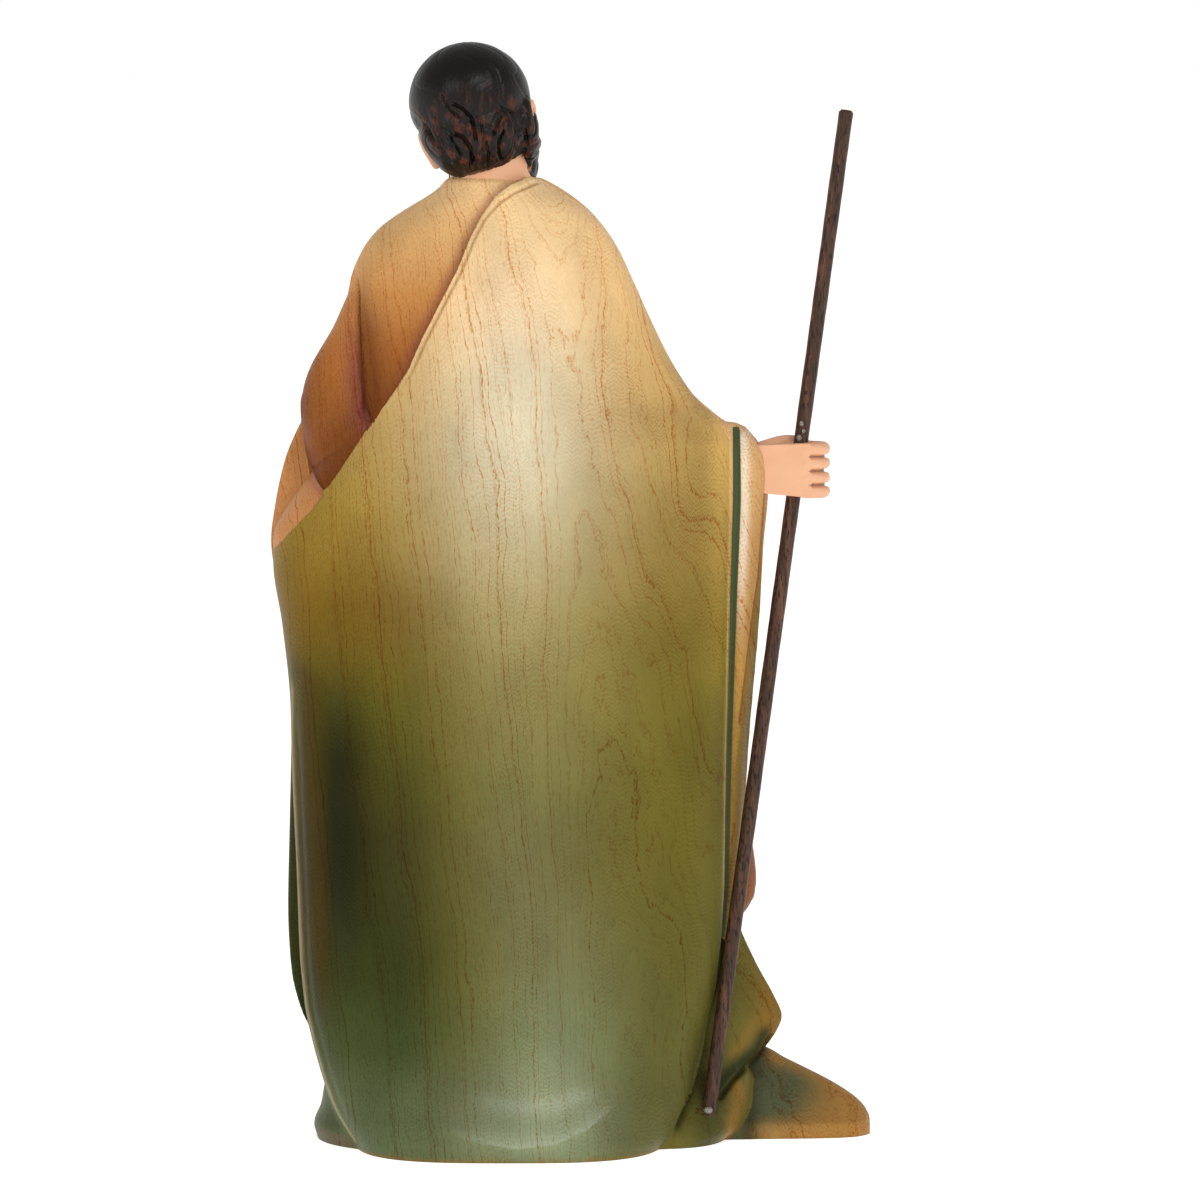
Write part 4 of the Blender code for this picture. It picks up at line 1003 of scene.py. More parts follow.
TUNIC_COAT = (
    (30, "#6A3E20"), (90, "#7C4822"), (128, "#8A4E24"), (146, "#985C2A"), (158, "#AC6C34"), (170, "#C88E50"),
    (182, "#E0B276"), (190, "#F0C890"),
)
CUFF_COAT = ((20, "#6A5424"), (50, "#86682E"), (90, "#AC8442"), (120, "#C2955A"), (142, "#DAB07C"))
# Dark green: stain with painted shade in the hollow at the left, and painted shadow lines in the folds'
# creases
GREEN_STAIN_AND_SHADE = linear("#161803")
# Painted shade in creases and under the mantle's edge: a brown, a pink and a dark shadow line
CREASE_SHADE_BROWN = linear("#6E3A18")
CREASE_SHADE_PINK = linear("#854A44")
CREASE_SHADOW_DARK = linear("#3C1C0C")
# Painted highlight along the sleeve's end on the drape
DRAPE_HIGHLIGHT_PINK = linear("#B2705C")
CUFF_CREAM = linear("#EFE6D2")
CUFF_OLIVE = linear("#7C6A34")
# Painted highlight on the rims and lips
RIM_HIGHLIGHT_TAN = linear("#E6C88E")
DRAPE_HONEY = linear("#C48A54")
FOLD_OLIVE = linear("#6A642E")
FOLD_HONEY = linear("#86662C")
FOLD_SHADOW = linear("#27301C")
TAIL_GREY = linear("#565A40")
TAIL_HONEY = linear("#A67C40")
SLEEVE_BROWN = linear("#84522F")
BAND_BROWN = linear("#665A46")
RIM_BROWN = linear("#4A3812")
# Painted highlight on the hem's flare
HEM_HIGHLIGHT_PALE = linear("#B2BDA4")
GROOVE_GREEN = "#4C593C"


def ramp(stops, at):
    """A colour read at each height between named colours."""
    heights = [stop[0] for stop in stops]
    colours = np.array([linear(stop[1]) for stop in stops])
    return np.stack([np.interp(at, heights, colours[:, k]) for k in range(3)], 1)


def sprayed(under, colour, amount):
    """One airbrushed coat: the colour laid over what is under it by the given amount at each point."""
    return under + (colour - under) * np.clip(amount, 0, 1)[:, None]


def mantle_stain(x, y, z):
    """Honey at the shoulders, a pale glow down the middle, olive at the sides and green towards the hem, with
    painted shade in the hollow at the left and painted highlights along the left rim and on the hem's flare.
    """
    middle = eased(z, (12, 36, 56, 110), (-12.0, -12.0, -7.0, -6.0))
    left_spread = eased(z, (6, 26, 60, 120), (18.0, 13.0, 11.5, 17.0))
    right_spread = eased(z, (10, 56, 90, 120), (13.0, 18.0, 19.5, 17.5))
    spread = np.where(x > middle, left_spread, right_spread)
    coat = sprayed(ramp(RIGHT_COAT, z), ramp(LEFT_COAT, z), step_up(x, -4.0, 18.0))
    coat = sprayed(coat, ramp(MIDDLE_COAT, z), gauss(x - middle, spread))
    # A dark green stain with painted shade over it in the hollow behind the left rim
    valley = gauss(x - 29.0, 7.0) * step_up(z, 30, 58) * (1 - step_up(z, 78, 104))
    coat = sprayed(coat, GREEN_STAIN_AND_SHADE, 0.88 * valley)
    rim = beside(LEFT_RIM, x, z)[0]
    beside_rim = gauss(rim + 3.0, 2.4) * step_up(z, 20, 40) * (1 - step_up(z, 96, 114))
    coat = sprayed(coat, RIM_BROWN, 0.65 * beside_rim * (y > -2))
    # A painted highlight along the left rim
    coat = sprayed(coat, RIM_HIGHLIGHT_TAN, 0.3 * gauss(rim, 0.28) * step_up(y, 8, 11))
    # Painted highlights in two arcs on the hem's flare, above its rim
    flare = beside(HEM_FLARE, x, z)[0]
    hem, along = beside(HEM_RIM, x, z)
    ends = step_up(along, 0.05, 0.5) * (1 - step_up(along, 0.85, 1.0))
    arcs = 0.4 * gauss(flare + 0.5, 1.7) + 0.62 * np.exp(np.minimum(hem, 0) / 1.9)
    return sprayed(coat, HEM_HIGHLIGHT_PALE, arcs * (1 - step_up(hem, -0.25, 0.15)) * ends * (y > 14))


def tunic_stain(x, y, z):
    """Tan at the shoulder, with painted shade browner down beside the crease and the mantle's edge and
    pinkish along them, painted shadow lines in the crease and under the sleeve's end, and a drape with a
    painted pink highlight along the sleeve's end.
    """
    coat = ramp(TUNIC_COAT, z)
    off = beside(MANTLE_EDGE, x, z)[0]
    behind = step_up(y, 2.0, 6.0)
    low = 1 - step_up(z, 140, 186)
    # Painted shade: browner beside the mantle's edge, where it overhangs the tunic
    coat = sprayed(coat, CREASE_SHADE_BROWN, 0.65 * behind * gauss(off, 6.5) * low)
    crease, along = beside(ARM_CREASE, x, z)
    back_side = step_up(-crease, -0.2, 0.2)
    below = 1 - step_up(z, 160, 180)
    # Painted shade in and beside the arm's crease: brown on the back's side, pinkish on the sleeve's, a dark
    # shadow line in the crease itself, and brown at the elbow by the sleeve's end
    coat = sprayed(coat, CREASE_SHADE_BROWN, 0.85 * behind * gauss(crease, 4.5) * back_side * below)
    pink = gauss(crease - 0.8, 2.6) * (1 - back_side) * gauss(z - 148, 17)
    coat = sprayed(coat, CREASE_SHADE_PINK, 0.8 * behind * pink)
    coat = sprayed(coat, CREASE_SHADOW_DARK, 0.55 * behind * gauss(crease, 0.26) * (1 - step_up(z, 168, 176)))
    coat = sprayed(coat, CREASE_SHADE_BROWN, 0.6 * behind * gauss(x - 36.8, 3.0) * gauss(z - 146, 16))
    # Painted shade: a pinkish line along the mantle's edge high up
    coat = sprayed(coat, CREASE_SHADE_PINK, 0.55 * behind * gauss(off - 0.6, 1.2) * (1 - step_up(along, 0.6, 0.9)))
    end = beside(SLEEVE_END, x, z)[0]
    drape = step_up(end, -0.2, 0.2) * step_up(x, 26.0, 28.0) * behind
    # The drape's honey with a painted pink highlight along the sleeve's end
    honey = sprayed(np.tile(DRAPE_HONEY, (len(x), 1)), DRAPE_HIGHLIGHT_PINK, 0.75 * gauss(end, 1.6))
    coat = sprayed(coat, honey, drape)
    # A painted shadow line under the sleeve's end
    return sprayed(coat, CREASE_SHADOW_DARK, 0.6 * behind * gauss(end + 0.2, 0.35) * step_up(x, 26.0, 28.0))


def cuff_stain(x, z):
    """Honey with a creamy band beside the groove, olive past the second rim, and a painted shadow line in the
    second rim's groove.
    """
    off = -beside(PANEL_EDGE, x, z)[0]
    width = panel_groove(z)[0]
    rim = -beside(CUFF_RIM, x, z)[0]
    cream = 0.75 * gauss(off - width - 0.5, 1.1) * step_up(z, 96, 122) * (1 - step_up(z, 141, 143))
    coat = sprayed(ramp(CUFF_COAT, z), CUFF_CREAM, cream)
    olive = step_up(rim, -0.1, 0.5) * (1 - step_up(z, 108, 124)) * step_up(z, 50, 90)
    coat = sprayed(coat, CUFF_OLIVE, 0.75 * olive)
    # A painted shadow line in the second rim's groove
    return sprayed(coat, CREASE_SHADE_BROWN, 0.6 * gauss(rim, 0.32))


def fold_stain(x, y, z):
    """Olive folds under the right hand with honey edges, with painted shade by the staff's foot and between
    them.
    """
    coat = np.tile(FOLD_OLIVE, (len(x), 1))
    coat = sprayed(coat, FOLD_SHADOW, 0.6 * gauss(x + 44.5, 4.5) * (1 - step_up(z, 12, 26)))
    coat = sprayed(coat, FOLD_HONEY, 0.9 * gauss(x + 57.5, 3.6))
    edge = gauss(x + 50.4 - 0.25 * np.abs(z - 9), 1.5) * (1 - step_up(z, 11, 14))
    coat = sprayed(coat, FOLD_HONEY, 0.9 * edge)
    # Painted shade along the fold's foot, a honey streak above it, and painted shadow lines in the crease and
    # beside the panel's edge
    off = beside(FOLD_FOOT, x, z)[0]
    coat = sprayed(coat, FOLD_SHADOW, 0.9 * gauss(off - 1.2, 1.8) * (1 - step_up(-x, 55.5, 58.0)))
    coat = sprayed(coat, FOLD_HONEY, 0.6 * gauss(off - 4.2, 1.2) * step_up(-x, 47.0, 50.0))
    coat = sprayed(coat, GREEN_STAIN_AND_SHADE, 0.75 * gauss(off + 0.3, 0.6) * step_up(-x, 45.5, 48.0))
    panel = -beside(PANEL_EDGE, x, z)[0]
    return sprayed(coat, GREEN_STAIN_AND_SHADE, 0.7 * gauss(panel - 0.4, 0.9) * (y > -6))


def tail_stain(x, z):
    """Dark blue-green by the folds, honey along the top, towards the tip and along the foot."""
    coat = np.tile(TAIL_GREY, (len(x), 1))
    coat = sprayed(coat, TAIL_HONEY, step_up(-x - 0.6 * z, 55, 68))
    crest = eased(-x, (50, 60, 70, 77), (17.4, 14.8, 9.8, 3.4))
    coat = sprayed(coat, TAIL_HONEY, 0.8 * gauss(z - crest, 1.8) * step_up(-x, 54, 58))
    coat = sprayed(coat, TAIL_HONEY, 0.8 * (1 - step_up(z, 1.2, 5.6)) * step_up(-x, 49, 57))
    return sprayed(coat, FOLD_SHADOW, 0.7 * gauss(x + 52.5, 2.0))


def robe_stain(points, owner):
    """The mantle's coat and the tunic's at each point, and the distance past the edge between them.

    owner names the mass that the point lies on, as its place in ROBE_MASSES.
    """
    x, y, z = points.T
    is_on = {name: owner == place for place, name in enumerate(ROBE_MASSES)}
    coat = mantle_stain(x, y, z)
    coat = sprayed(coat, DRAPE_HONEY, np.where(is_on["arm_drape"], step_up(z, 96, 124), 0.0))
    cuff = (is_on["front_fall"] | is_on["cuff"]) * step_up(y, -15, -7)
    coat = sprayed(coat, cuff_stain(x, z), cuff)
    coat = np.where(is_on["sleeve"][:, None], SLEEVE_BROWN, coat)
    fold = is_on["corner_fold"] | is_on["foot_block"]
    coat = np.where(fold[:, None], fold_stain(x, y, z), coat)
    coat = np.where(is_on["tail"][:, None], tail_stain(x, z), coat)
    # Painted light: the coat lightened in a strip beside the panel's edge, from a height of 80 up
    panel = -beside(PANEL_EDGE, x, z)[0]
    painted_light_strip = 0.36 * gauss(panel + 2.4, 2.6) * step_up(z, 80, 98) * is_on["back"]
    coat = coat * (1 + painted_light_strip)[:, None]
    # A painted highlight along the panel edge's lip, low on the back
    coat = sprayed(coat, RIM_HIGHLIGHT_TAN, 0.6 * gauss(panel + 0.25, 0.3) * step_up(z, 36, 60) * is_on["back"])
    coat = sprayed(coat, FOLD_HONEY, 0.7 * (1 - step_up(z, 0.2, 0.9)) * is_on["back"])
    # High up, the mantle's rolled rim gets a painted highlight, and the crease inside it a painted shadow
    # line
    past, along = beside(MANTLE_EDGE, x, z)
    high = is_on["back"] * (y > 4.0) * (1 - step_up(along, 0.44, 0.54))
    inner = 1.0 + 0.9 * step_up(z, 183, 190)
    coat = sprayed(coat, RIM_HIGHLIGHT_TAN, 0.5 * high * gauss(past + 0.45 * inner, 0.35))
    coat = sprayed(coat, CREASE_SHADE_BROWN, 0.45 * high * gauss(past + inner, 0.22))
    past = np.where(is_on["back"] & (y > 4.0), past, -3.0)
    coat = sprayed(coat, BAND_BROWN, 0.7 * (1 - step_up(z, 2.0, 3.0)) * is_on["tunic"])
    under_arm = is_on["back"] & (y <= 4.0) & (x > 15) & (z > 118)
    tunic = (is_on["tunic"] & ~((z < 18) & (y > -8))) | is_on["left_arm"] | under_arm
    return coat, tunic_stain(x, y, z), np.where(tunic, 3.0, past)


def ring_distance(points):
    """How far each point is from the tree's pith, which runs down inside the figure, a little askew.

    On the right of the back the rings fan outwards as they fall, and bend round two old knots.
    """
    x, y, z = points.T
    pith_x = -20.0 + 0.10 * (z - 100)
    pith_y = 14.0 - 0.12 * (z - 100)
    away = np.hypot(x - pith_x, 0.5 * (y - pith_y))
    fan = 1.0 + 0.014 * np.clip(160.0 - z, 0, None) * step_up(-x, 6.0, 46.0)
    knots = 4.5 * gauss(np.hypot((x + 41.0) / 5.0, (z - 130.0) / 9.0), 1.0)
    knots = knots + 2.5 * gauss(np.hypot((x + 33.0) / 4.0, (z - 52.0) / 6.0), 1.0)
    return 1.5 * away / fan + knots


# Pieces

def dressed(made):
    """Ties a finished piece to the figure's body, where it takes the plain solid's place."""
    made.data.shade_smooth()
    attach(made, "root")
    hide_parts("figure")
    return made


def in_metres(made):
    """Takes a piece from the carving's units to metres."""
    made.data.transform(Matrix.Scale(UNIT, 4))
    made.data.update()


# The masses that the robe is carved from, in the order that they are tried in
ROBE_MASSES = (
    "back", "tunic", "front_fall", "cuff", "arm_drape",
    "corner_fold", "foot_block", "tail", "left_arm", "sleeve",
)


def robe_masses():
    made = {
        "back": upright_mass(BACK),
        "tunic": upright_mass(TUNIC),
        "front_fall": upright_mass(FRONT_FALL),
        "cuff": upright_mass(CUFF_ROLL),
        "arm_drape": upright_mass(ARM_DRAPE),
        "corner_fold": upright_mass(CORNER_FOLD),
        "foot_block": upright_mass(FOOT_BLOCK),
        "tail": mantle_tail(),
        "left_arm": joined(left_arm()),
        "sleeve": sleeve_drop(),
    }
    return [made[name] for name in ROBE_MASSES]


def nearest_mass(points, trees):
    """For each point, the place in the list of the mass whose skin is nearest."""
    nearest = np.full(len(points), 1e9)
    owner = np.zeros(len(points), int)
    for place, tree in enumerate(trees):
        away = np.array([tree.find_nearest(point, 3.0)[3] or 9.0 for point in points])
        owner = np.where(away < nearest - 0.02, place, owner)
        nearest = np.minimum(away, nearest)
    return owner


def carved_robe():
    masses = robe_masses()
    trees = [BVHTree.FromBMesh(mass) for mass in masses]
    made = object_of("carved_robe", joined(masses))
    fused(made, ROBE_STEP, 4)
    thinned(made, 2 * ROBE_TRIANGLES)
    finer(made, finely_carved(points_of(made.data)))
    points = points_of(made.data)
    coat, tunic, past = robe_stain(points, nearest_mass(points, trees))
    mark_colour(made.data, "stain", coat)
    mark_colour(made.data, "tunic", tunic)
    mark(made.data, "past", settled(made.data, np.clip(past, -3, 3), 10))
    for carve in (mantle_edge, arm_crease, panel_edge, back_folds, low_folds, left_rim, front_folds):
        sculpt(made, carve)
    ease_skin(made, 1)
    thinned(made, ROBE_TRIANGLES)
    stood_flat(made)
    points, normals = points_of(made.data), normals_of(made.data)
    mark(made.data, "ring", ring_distance(points))
    off = -beside(PANEL_EDGE, points[:, 0], points[:, 2])[0]
    width, there = panel_groove(points[:, 2])
    shown = there * step_up(normals[:, 1], -0.4, -0.2) * (points[:, 1] > 0)
    mark(made.data, "groove", np.where(shown > 0.5, np.abs(off - width / 2) - width / 2, 5.0))
    in_metres(made)
    made.data.materials.append(stained_ash())
    return dressed(made)


def carved_head():
    """The head in its own axes, with its face, beard and hair, then bowed, leant and turned into place."""
    made = object_of("carved_head", head_masses())
    fused(made, HEAD_SHELL_STEP, 18)
    put_points(made.data, face_pushes(points_of(made.data)))
    shape = bmesh.new()
    shape.from_mesh(made.data)
    bpy.data.objects.remove(made)
    shell = BVHTree.FromBMesh(shape)
    lobes = joined(ears())
    ear_tree = BVHTree.FromBMesh(lobes)
    made = object_of("carved_head", joined([shape, lobes]))
    fused(made, HEAD_STEP, 2)
    mesh = made.data
    points, normals = points_of(mesh), normals_of(mesh)
    x, y, z = points.T
    to_ear = np.array([ear_tree.find_nearest(point)[3] for point in points])
    to_shell = np.array([shell.find_nearest(point)[3] for point in points])
    ear = (to_ear < to_shell - 0.05).astype(float)
    hair = hair_share(x, y, z) * (1 - ear)
    beard = beard_share(x, y, z) * (1 - hair) * (1 - ear)
    low = step_up(-z, -5.0, 3.0)
    side_face = step_up(-y, 0.0, 5.0)
    lock, curl = locks(x, y, z), beard_locks(x, z)
    rear = step_up(y, -2.0, 6.0)
    depth = 0.10 + 0.42 * np.maximum(low, side_face) * (1 - 0.6 * rear)
    raised = hair * (0.35 + depth * lock) + beard * (0.35 + 0.5 * curl)
    outside, iris, _ = eye_opening(x, z)
    front = step_up(-y, 6.0, 7.0)
    mark(mesh, "hair", np.maximum(hair, beard))
    mark(mesh, "lock", np.where(beard > hair, curl, lock))
    mark(mesh, "low", np.maximum(low, beard))
    mark(mesh, "lids", np.where(front > 0.5, outside, 3.0))
    mark(mesh, "iris", np.where(front > 0.5, iris, 3.0))
    mark(mesh, "brow", brow_share(x, y, z))
    mark(mesh, "lips", lip_share(x, y, z) * (1 - beard))
    points = points + normals * raised[:, None]
    points[:, 1] -= face_relief(x, y, z)
    put_points(mesh, points)
    mesh.transform(head_place())
    sculpt(made, hair_cuts)
    thinned(made, HEAD_TRIANGLES)
    in_metres(made)
    made.data.materials.append(painted_head())
    return dressed(made)


def brow_share(x, y, z):
    """The painted eyebrows: a soft arch over each eye."""
    across = np.abs(x)
    arch = 2.9 - 0.075 * (across - 3.4) ** 2
    width = 0.62 - 0.07 * across
    ends = step_up(across, 0.9, 1.6) * (1 - step_up(across, 6.2, 7.2)) * (y < -6)
    return gauss(z - arch, np.maximum(width, 0.2)) * ends


def lip_share(x, y, z):
    """The painted lips."""
    top = -7.2 - 0.12 * x * x + 0.25 * gauss(np.abs(x) - 0.6, 0.4)
    bottom = -9.8 + 0.22 * x * x
    return step_up(top - z, -0.12, 0.12) * step_up(z - bottom, -0.12, 0.12) * (np.abs(x) < 2.5) * (y < -9)


def skin_piece(name, shapes, step, carve=None):
    made = object_of(name, joined(shapes))
    fused(made, step, 3)
    if carve:
        sculpt(made, carve)
    thinned(made, HAND_TRIANGLES)
    if carve:
        # The grooves' depth, which the skin paints as shade between the fingers
        mark(made.data, "crease", -carve(points_of(made.data), normals_of(made.data)) / KNUCKLE_DEPTH)
    in_metres(made)
    made.data.materials.append(oil_painted_skin())
    return made


def bare_feet():
    made = skin_piece("bare_feet", feet(), HAND_STEP)
    stood_flat(made)
    return dressed(made)


def wooden_staff():
    """The turned rod, a little uneven along its length, its top end rounded over."""
    direction = staff_direction()
    rings = []
    levels = 420
    start = 0.3 - SOCKET_DEPTH
    turn = np.linspace(0, 2 * math.pi, 40, endpoint=False)
    side = Vector((0, 1, 0)).cross(direction).normalized()
    up = direction.cross(side)
    for k in range(levels):
        s = k / (levels - 1) * STAFF_LENGTH
        ends = min(s, STAFF_LENGTH - s)
        edge = 0.5
        shrink = 1.0 if ends > edge else 0.72 + 0.28 * math.sqrt(1 - (1 - ends / edge) ** 2)
        wobble = 0.02 * math.sin(s * 0.31) + 0.015 * math.sin(s * 0.83 + 1.0)
        radius = (STAFF_RADIUS - 0.04 + wobble) * shrink
        middle = STAFF_FOOT + direction * (start + s)
        rings.append([tuple(middle + (side * math.cos(a) + up * math.sin(a)) * radius) for a in turn])
    made = object_of("wooden_staff", loft(rings))
    in_metres(made)
    made.data.materials.append(stained_rod())
    made.data.shade_smooth()
    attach(made, "root")
    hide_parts("staff")
    return made


def dried_glue():
    """A drop of glue where the staff enters the foot, and three chips of it on the staff above the hand."""
    shapes = [egg(STAFF_FOOT + Vector((0.3, 1.7, -0.2)), (0.95, 0.75, 0.7), (20, 0, 10))]
    direction = staff_direction()
    for up, aside, size in ((6.0, 0.5, 0.5), (7.4, -0.2, 0.36), (8.9, 0.4, 0.42)):
        middle = STAFF_GRIP + direction * up + Vector((aside, STAFF_RADIUS - 0.1, 0))
        shapes.append(egg(middle, (size, 0.3, 1.3 * size)))
    made = object_of("dried_glue", joined(shapes))
    in_metres(made)
    made.data.materials.append(clear_glue())
    return dressed(made)


# Materials

def add(tree, kind, inputs=None, **settings):
    """Adds a node with its properties, and fills its inputs with values or with links from other sockets."""
    made = tree.nodes.new(kind)
    for name, value in settings.items():
        setattr(made, name, value)
    for name, value in (inputs or {}).items():
        if isinstance(value, bpy.types.NodeSocket):
            tree.links.new(value, made.inputs[name])
        else:
            made.inputs[name].default_value = value
    return made


def new_material(name):
    """A new material with its node tree and its surface."""
    made = bpy.data.materials.new(name)
    made.use_nodes = True
    return made, made.node_tree, made.node_tree.nodes["Principled BSDF"]


def stored(tree, name, kind="Fac"):
    """A number or a colour that the mesh stores for each point."""
    return add(tree, "ShaderNodeAttribute", attribute_name=name).outputs[kind]


def in_millimetres(tree, stretch=(1.0, 1.0, 1.0)):
    """The piece's own coordinates in millimetres, stretched along each axis."""
    place = add(tree, "ShaderNodeTexCoord")
    inputs = {"Vector": place.outputs["Object"], "Scale": [1000.0 * part for part in stretch]}
    return add(tree, "ShaderNodeMapping", inputs).outputs["Vector"]


def noise(tree, grain, detail, roughness=0.5):
    """Clouds between 0 and 1. grain is how many of them fit into a millimetre along each axis."""
    inputs = {"Vector": in_millimetres(tree, grain), "Scale": 1.0, "Detail": detail, "Roughness": roughness}
    return add(tree, "ShaderNodeTexNoise", inputs).outputs["Fac"]


def sum_of(tree, operation, *numbers):
    """One step of arithmetic on numbers or other nodes' sockets."""
    return add(tree, "ShaderNodeMath", dict(enumerate(numbers)), operation=operation).outputs[0]


def ranged(tree, value, low, high, first=0.0, last=1.0, **settings):
    """first where the value is at low, last where it is at high, and held beyond them."""
    inputs = {"Value": value, "From Min": low, "From Max": high, "To Min": first, "To Max": last}
    return add(tree, "ShaderNodeMapRange", inputs, **settings).outputs["Result"]


def coated(tree, share, under, over, **settings):
    """One colour laid over another by a share."""
    inputs = {"Factor": share, "A": under, "B": over}
    return add(tree, "ShaderNodeMix", inputs, data_type="RGBA", **settings).outputs["Result"]


def paint(code):
    """An sRGB hex code as an opaque linear colour."""
    return (*linear(code), 1)


def give_bump(tree, surface, height, strength, depth):
    """Relief too fine for the mesh. Its depth is in metres."""
    bump = add(tree, "ShaderNodeBump", {"Height": height, "Strength": strength, "Distance": depth})
    tree.links.new(bump.outputs["Normal"], surface.inputs["Normal"])


def growth_rings(tree, dashes, wander):
    """Single thin lines, bands of pores beside them and finer rings between, as one share of darkening."""
    whole = sum_of(tree, "MULTIPLY_ADD", dashes, 0.6, 0.4)
    marks = sum_of(tree, "MULTIPLY", dashes, 0.1)
    # Each kind of ring: (pitch in mm, share, line's width, breaks)
    for pitch, share, width, breaks in (
        (11.0, 1.6, 0.05, whole),
        (2.1, 1.5, 0.15, whole),
        (0.9, 1.1, 0.35, dashes),
    ):
        count = sum_of(tree, "DIVIDE", wander, pitch)
        across = sum_of(tree, "FRACT", count)
        number = sum_of(tree, "FLOOR", count)
        vary = add(tree, "ShaderNodeTexWhiteNoise", {"W": number}, noise_dimensions="1D").outputs["Value"]
        line = ranged(tree, across, 0.0, width, share, 0.0, interpolation_type="SMOOTHSTEP")
        line = sum_of(tree, "MULTIPLY", line, vary)
        marks = sum_of(tree, "MULTIPLY_ADD", line, breaks, marks)
    return marks


def cutter_chatter(tree, slow, fine, place):
    """Zigzag ripples that the cutter left 0.9 mm apart, in patches."""
    bent = sum_of(tree, "MULTIPLY_ADD", slow, 14.0, place.outputs["X"])
    teeth = sum_of(tree, "PINGPONG", bent, 1.1)
    phase = sum_of(tree, "MULTIPLY_ADD", teeth, 0.8, place.outputs["Z"])
    phase = sum_of(tree, "MULTIPLY_ADD", fine, 4.0, phase)
    phase = sum_of(tree, "MULTIPLY", phase, 2 * math.pi / 0.9)
    ripple = sum_of(tree, "SINE", phase)
    patch = ranged(tree, noise(tree, (0.12, 0.12, 0.05), 2.0), 0.4, 0.58)
    return sum_of(tree, "MULTIPLY", ripple, patch)


def stained_ash():
    """Ash wood, carved and sanded, with oil stains sprayed on it under a satin varnish.

    The eye sees soft clouds of colour, thin red-brown ring lines with dashes of pores, faint ripples
    from the cutter, and a low sheen.
    """
    made, tree, surface = new_material("stained_ash")

    # The mantle's coat ends crisply at its edge
    below = ranged(tree, stored(tree, "past"), -0.1, 0.1)
    stain = coated(tree, below, stored(tree, "stain", "Color"), stored(tree, "tunic", "Color"))

    # The spray lies a little unevenly, in clouds about 12 mm across, over a fine speckle of 0.5 mm
    clouds = noise(tree, (0.08, 0.08, 0.05), 4.0)
    speckle = noise(tree, (2.6, 2.6, 1.3), 3.0, 0.7)
    shade = ranged(tree, sum_of(tree, "MULTIPLY_ADD", speckle, 0.55, clouds), 0.45, 1.1, 0.8, 1.2)
    stain = add(tree, "ShaderNodeVectorMath", {0: stain, "Scale": shade}, operation="SCALE").outputs[0]

    # Growth rings wander slowly and then more finely
    ring = stored(tree, "ring")
    slow = noise(tree, (0.055, 0.055, 0.022), 2.0)
    fine = noise(tree, (0.35, 0.35, 0.13), 4.0, 0.6)
    wander = sum_of(tree, "MULTIPLY_ADD", slow, 10.0, ring)
    wander = sum_of(tree, "MULTIPLY_ADD", fine, 2.6, wander)

    # Pores: short dashes along the grain, about 0.35 mm wide and 1.2 mm long
    dash = noise(tree, (3.0, 3.0, 0.85), 2.0)
    marks = growth_rings(tree, ranged(tree, dash, 0.42, 0.6), wander)

    # The chatter shows most on the right of the back
    place = add(tree, "ShaderNodeSeparateXYZ", {"Vector": in_millimetres(tree)})
    chatter = cutter_chatter(tree, slow, fine, place)
    right = ranged(tree, place.outputs["X"], -14.0, 4.0, 0.33, 0.08)
    marks = sum_of(tree, "MULTIPLY_ADD", chatter, right, marks)

    # Near the pith the rings run flat to the surface and show least
    marks = sum_of(tree, "MULTIPLY", marks, ranged(tree, ring, 10.0, 30.0, 0.6, 1.0))

    # Stain gathers in the pores, which darkens it towards a red brown
    ringed = coated(tree, marks, (1, 1, 1, 1), (0.72, 0.38, 0.19, 1), clamp_factor=True)
    wood = add(tree, "ShaderNodeVectorMath", {0: stain, 1: ringed}, operation="MULTIPLY").outputs[0]

    # The groove beside the cuff is painted green
    inside = ranged(tree, stored(tree, "groove"), -0.08, 0.08, 1.0, 0.0)
    colour = coated(tree, inside, wood, paint(GROOVE_GREEN))
    tree.links.new(colour, surface.inputs["Base Color"])

    surface.inputs["Specular IOR Level"].default_value = 0.08
    surface.inputs["Specular Tint"].default_value = (1.0, 0.9, 0.62, 1)
    tree.links.new(ranged(tree, dash, 0.0, 1.0, 0.38, 0.5), surface.inputs["Roughness"])
    give_bump(tree, surface, sum_of(tree, "ADD", chatter, dash), 0.16, 0.0004)
    return made


def oil_painted_skin():
    """Flesh-coloured oil paint, brushed thin over the wood and matt-varnished.

    The eye sees a slight mottle with a dull sheen, and dark lines of painted shade between the fingers.
    """
    if "oil_painted_skin" in bpy.data.materials:
        return bpy.data.materials["oil_painted_skin"]
    made, tree, surface = new_material("oil_painted_skin")
    mottle = noise(tree, (0.25, 0.25, 0.25), 3.0)
    flesh = coated(tree, mottle, paint("#E0A47C"), paint("#EEB890"))
    # Painted shade: dark brown in the grooves between the fingers
    crease = ranged(tree, stored(tree, "crease"), 0.3, 1.0, 0.0, 0.8)
    tree.links.new(coated(tree, crease, flesh, paint("#4E2A1C")), surface.inputs["Base Color"])
    surface.inputs["Roughness"].default_value = 0.42
    give_bump(tree, surface, mottle, 0.08, 0.0003)
    return made


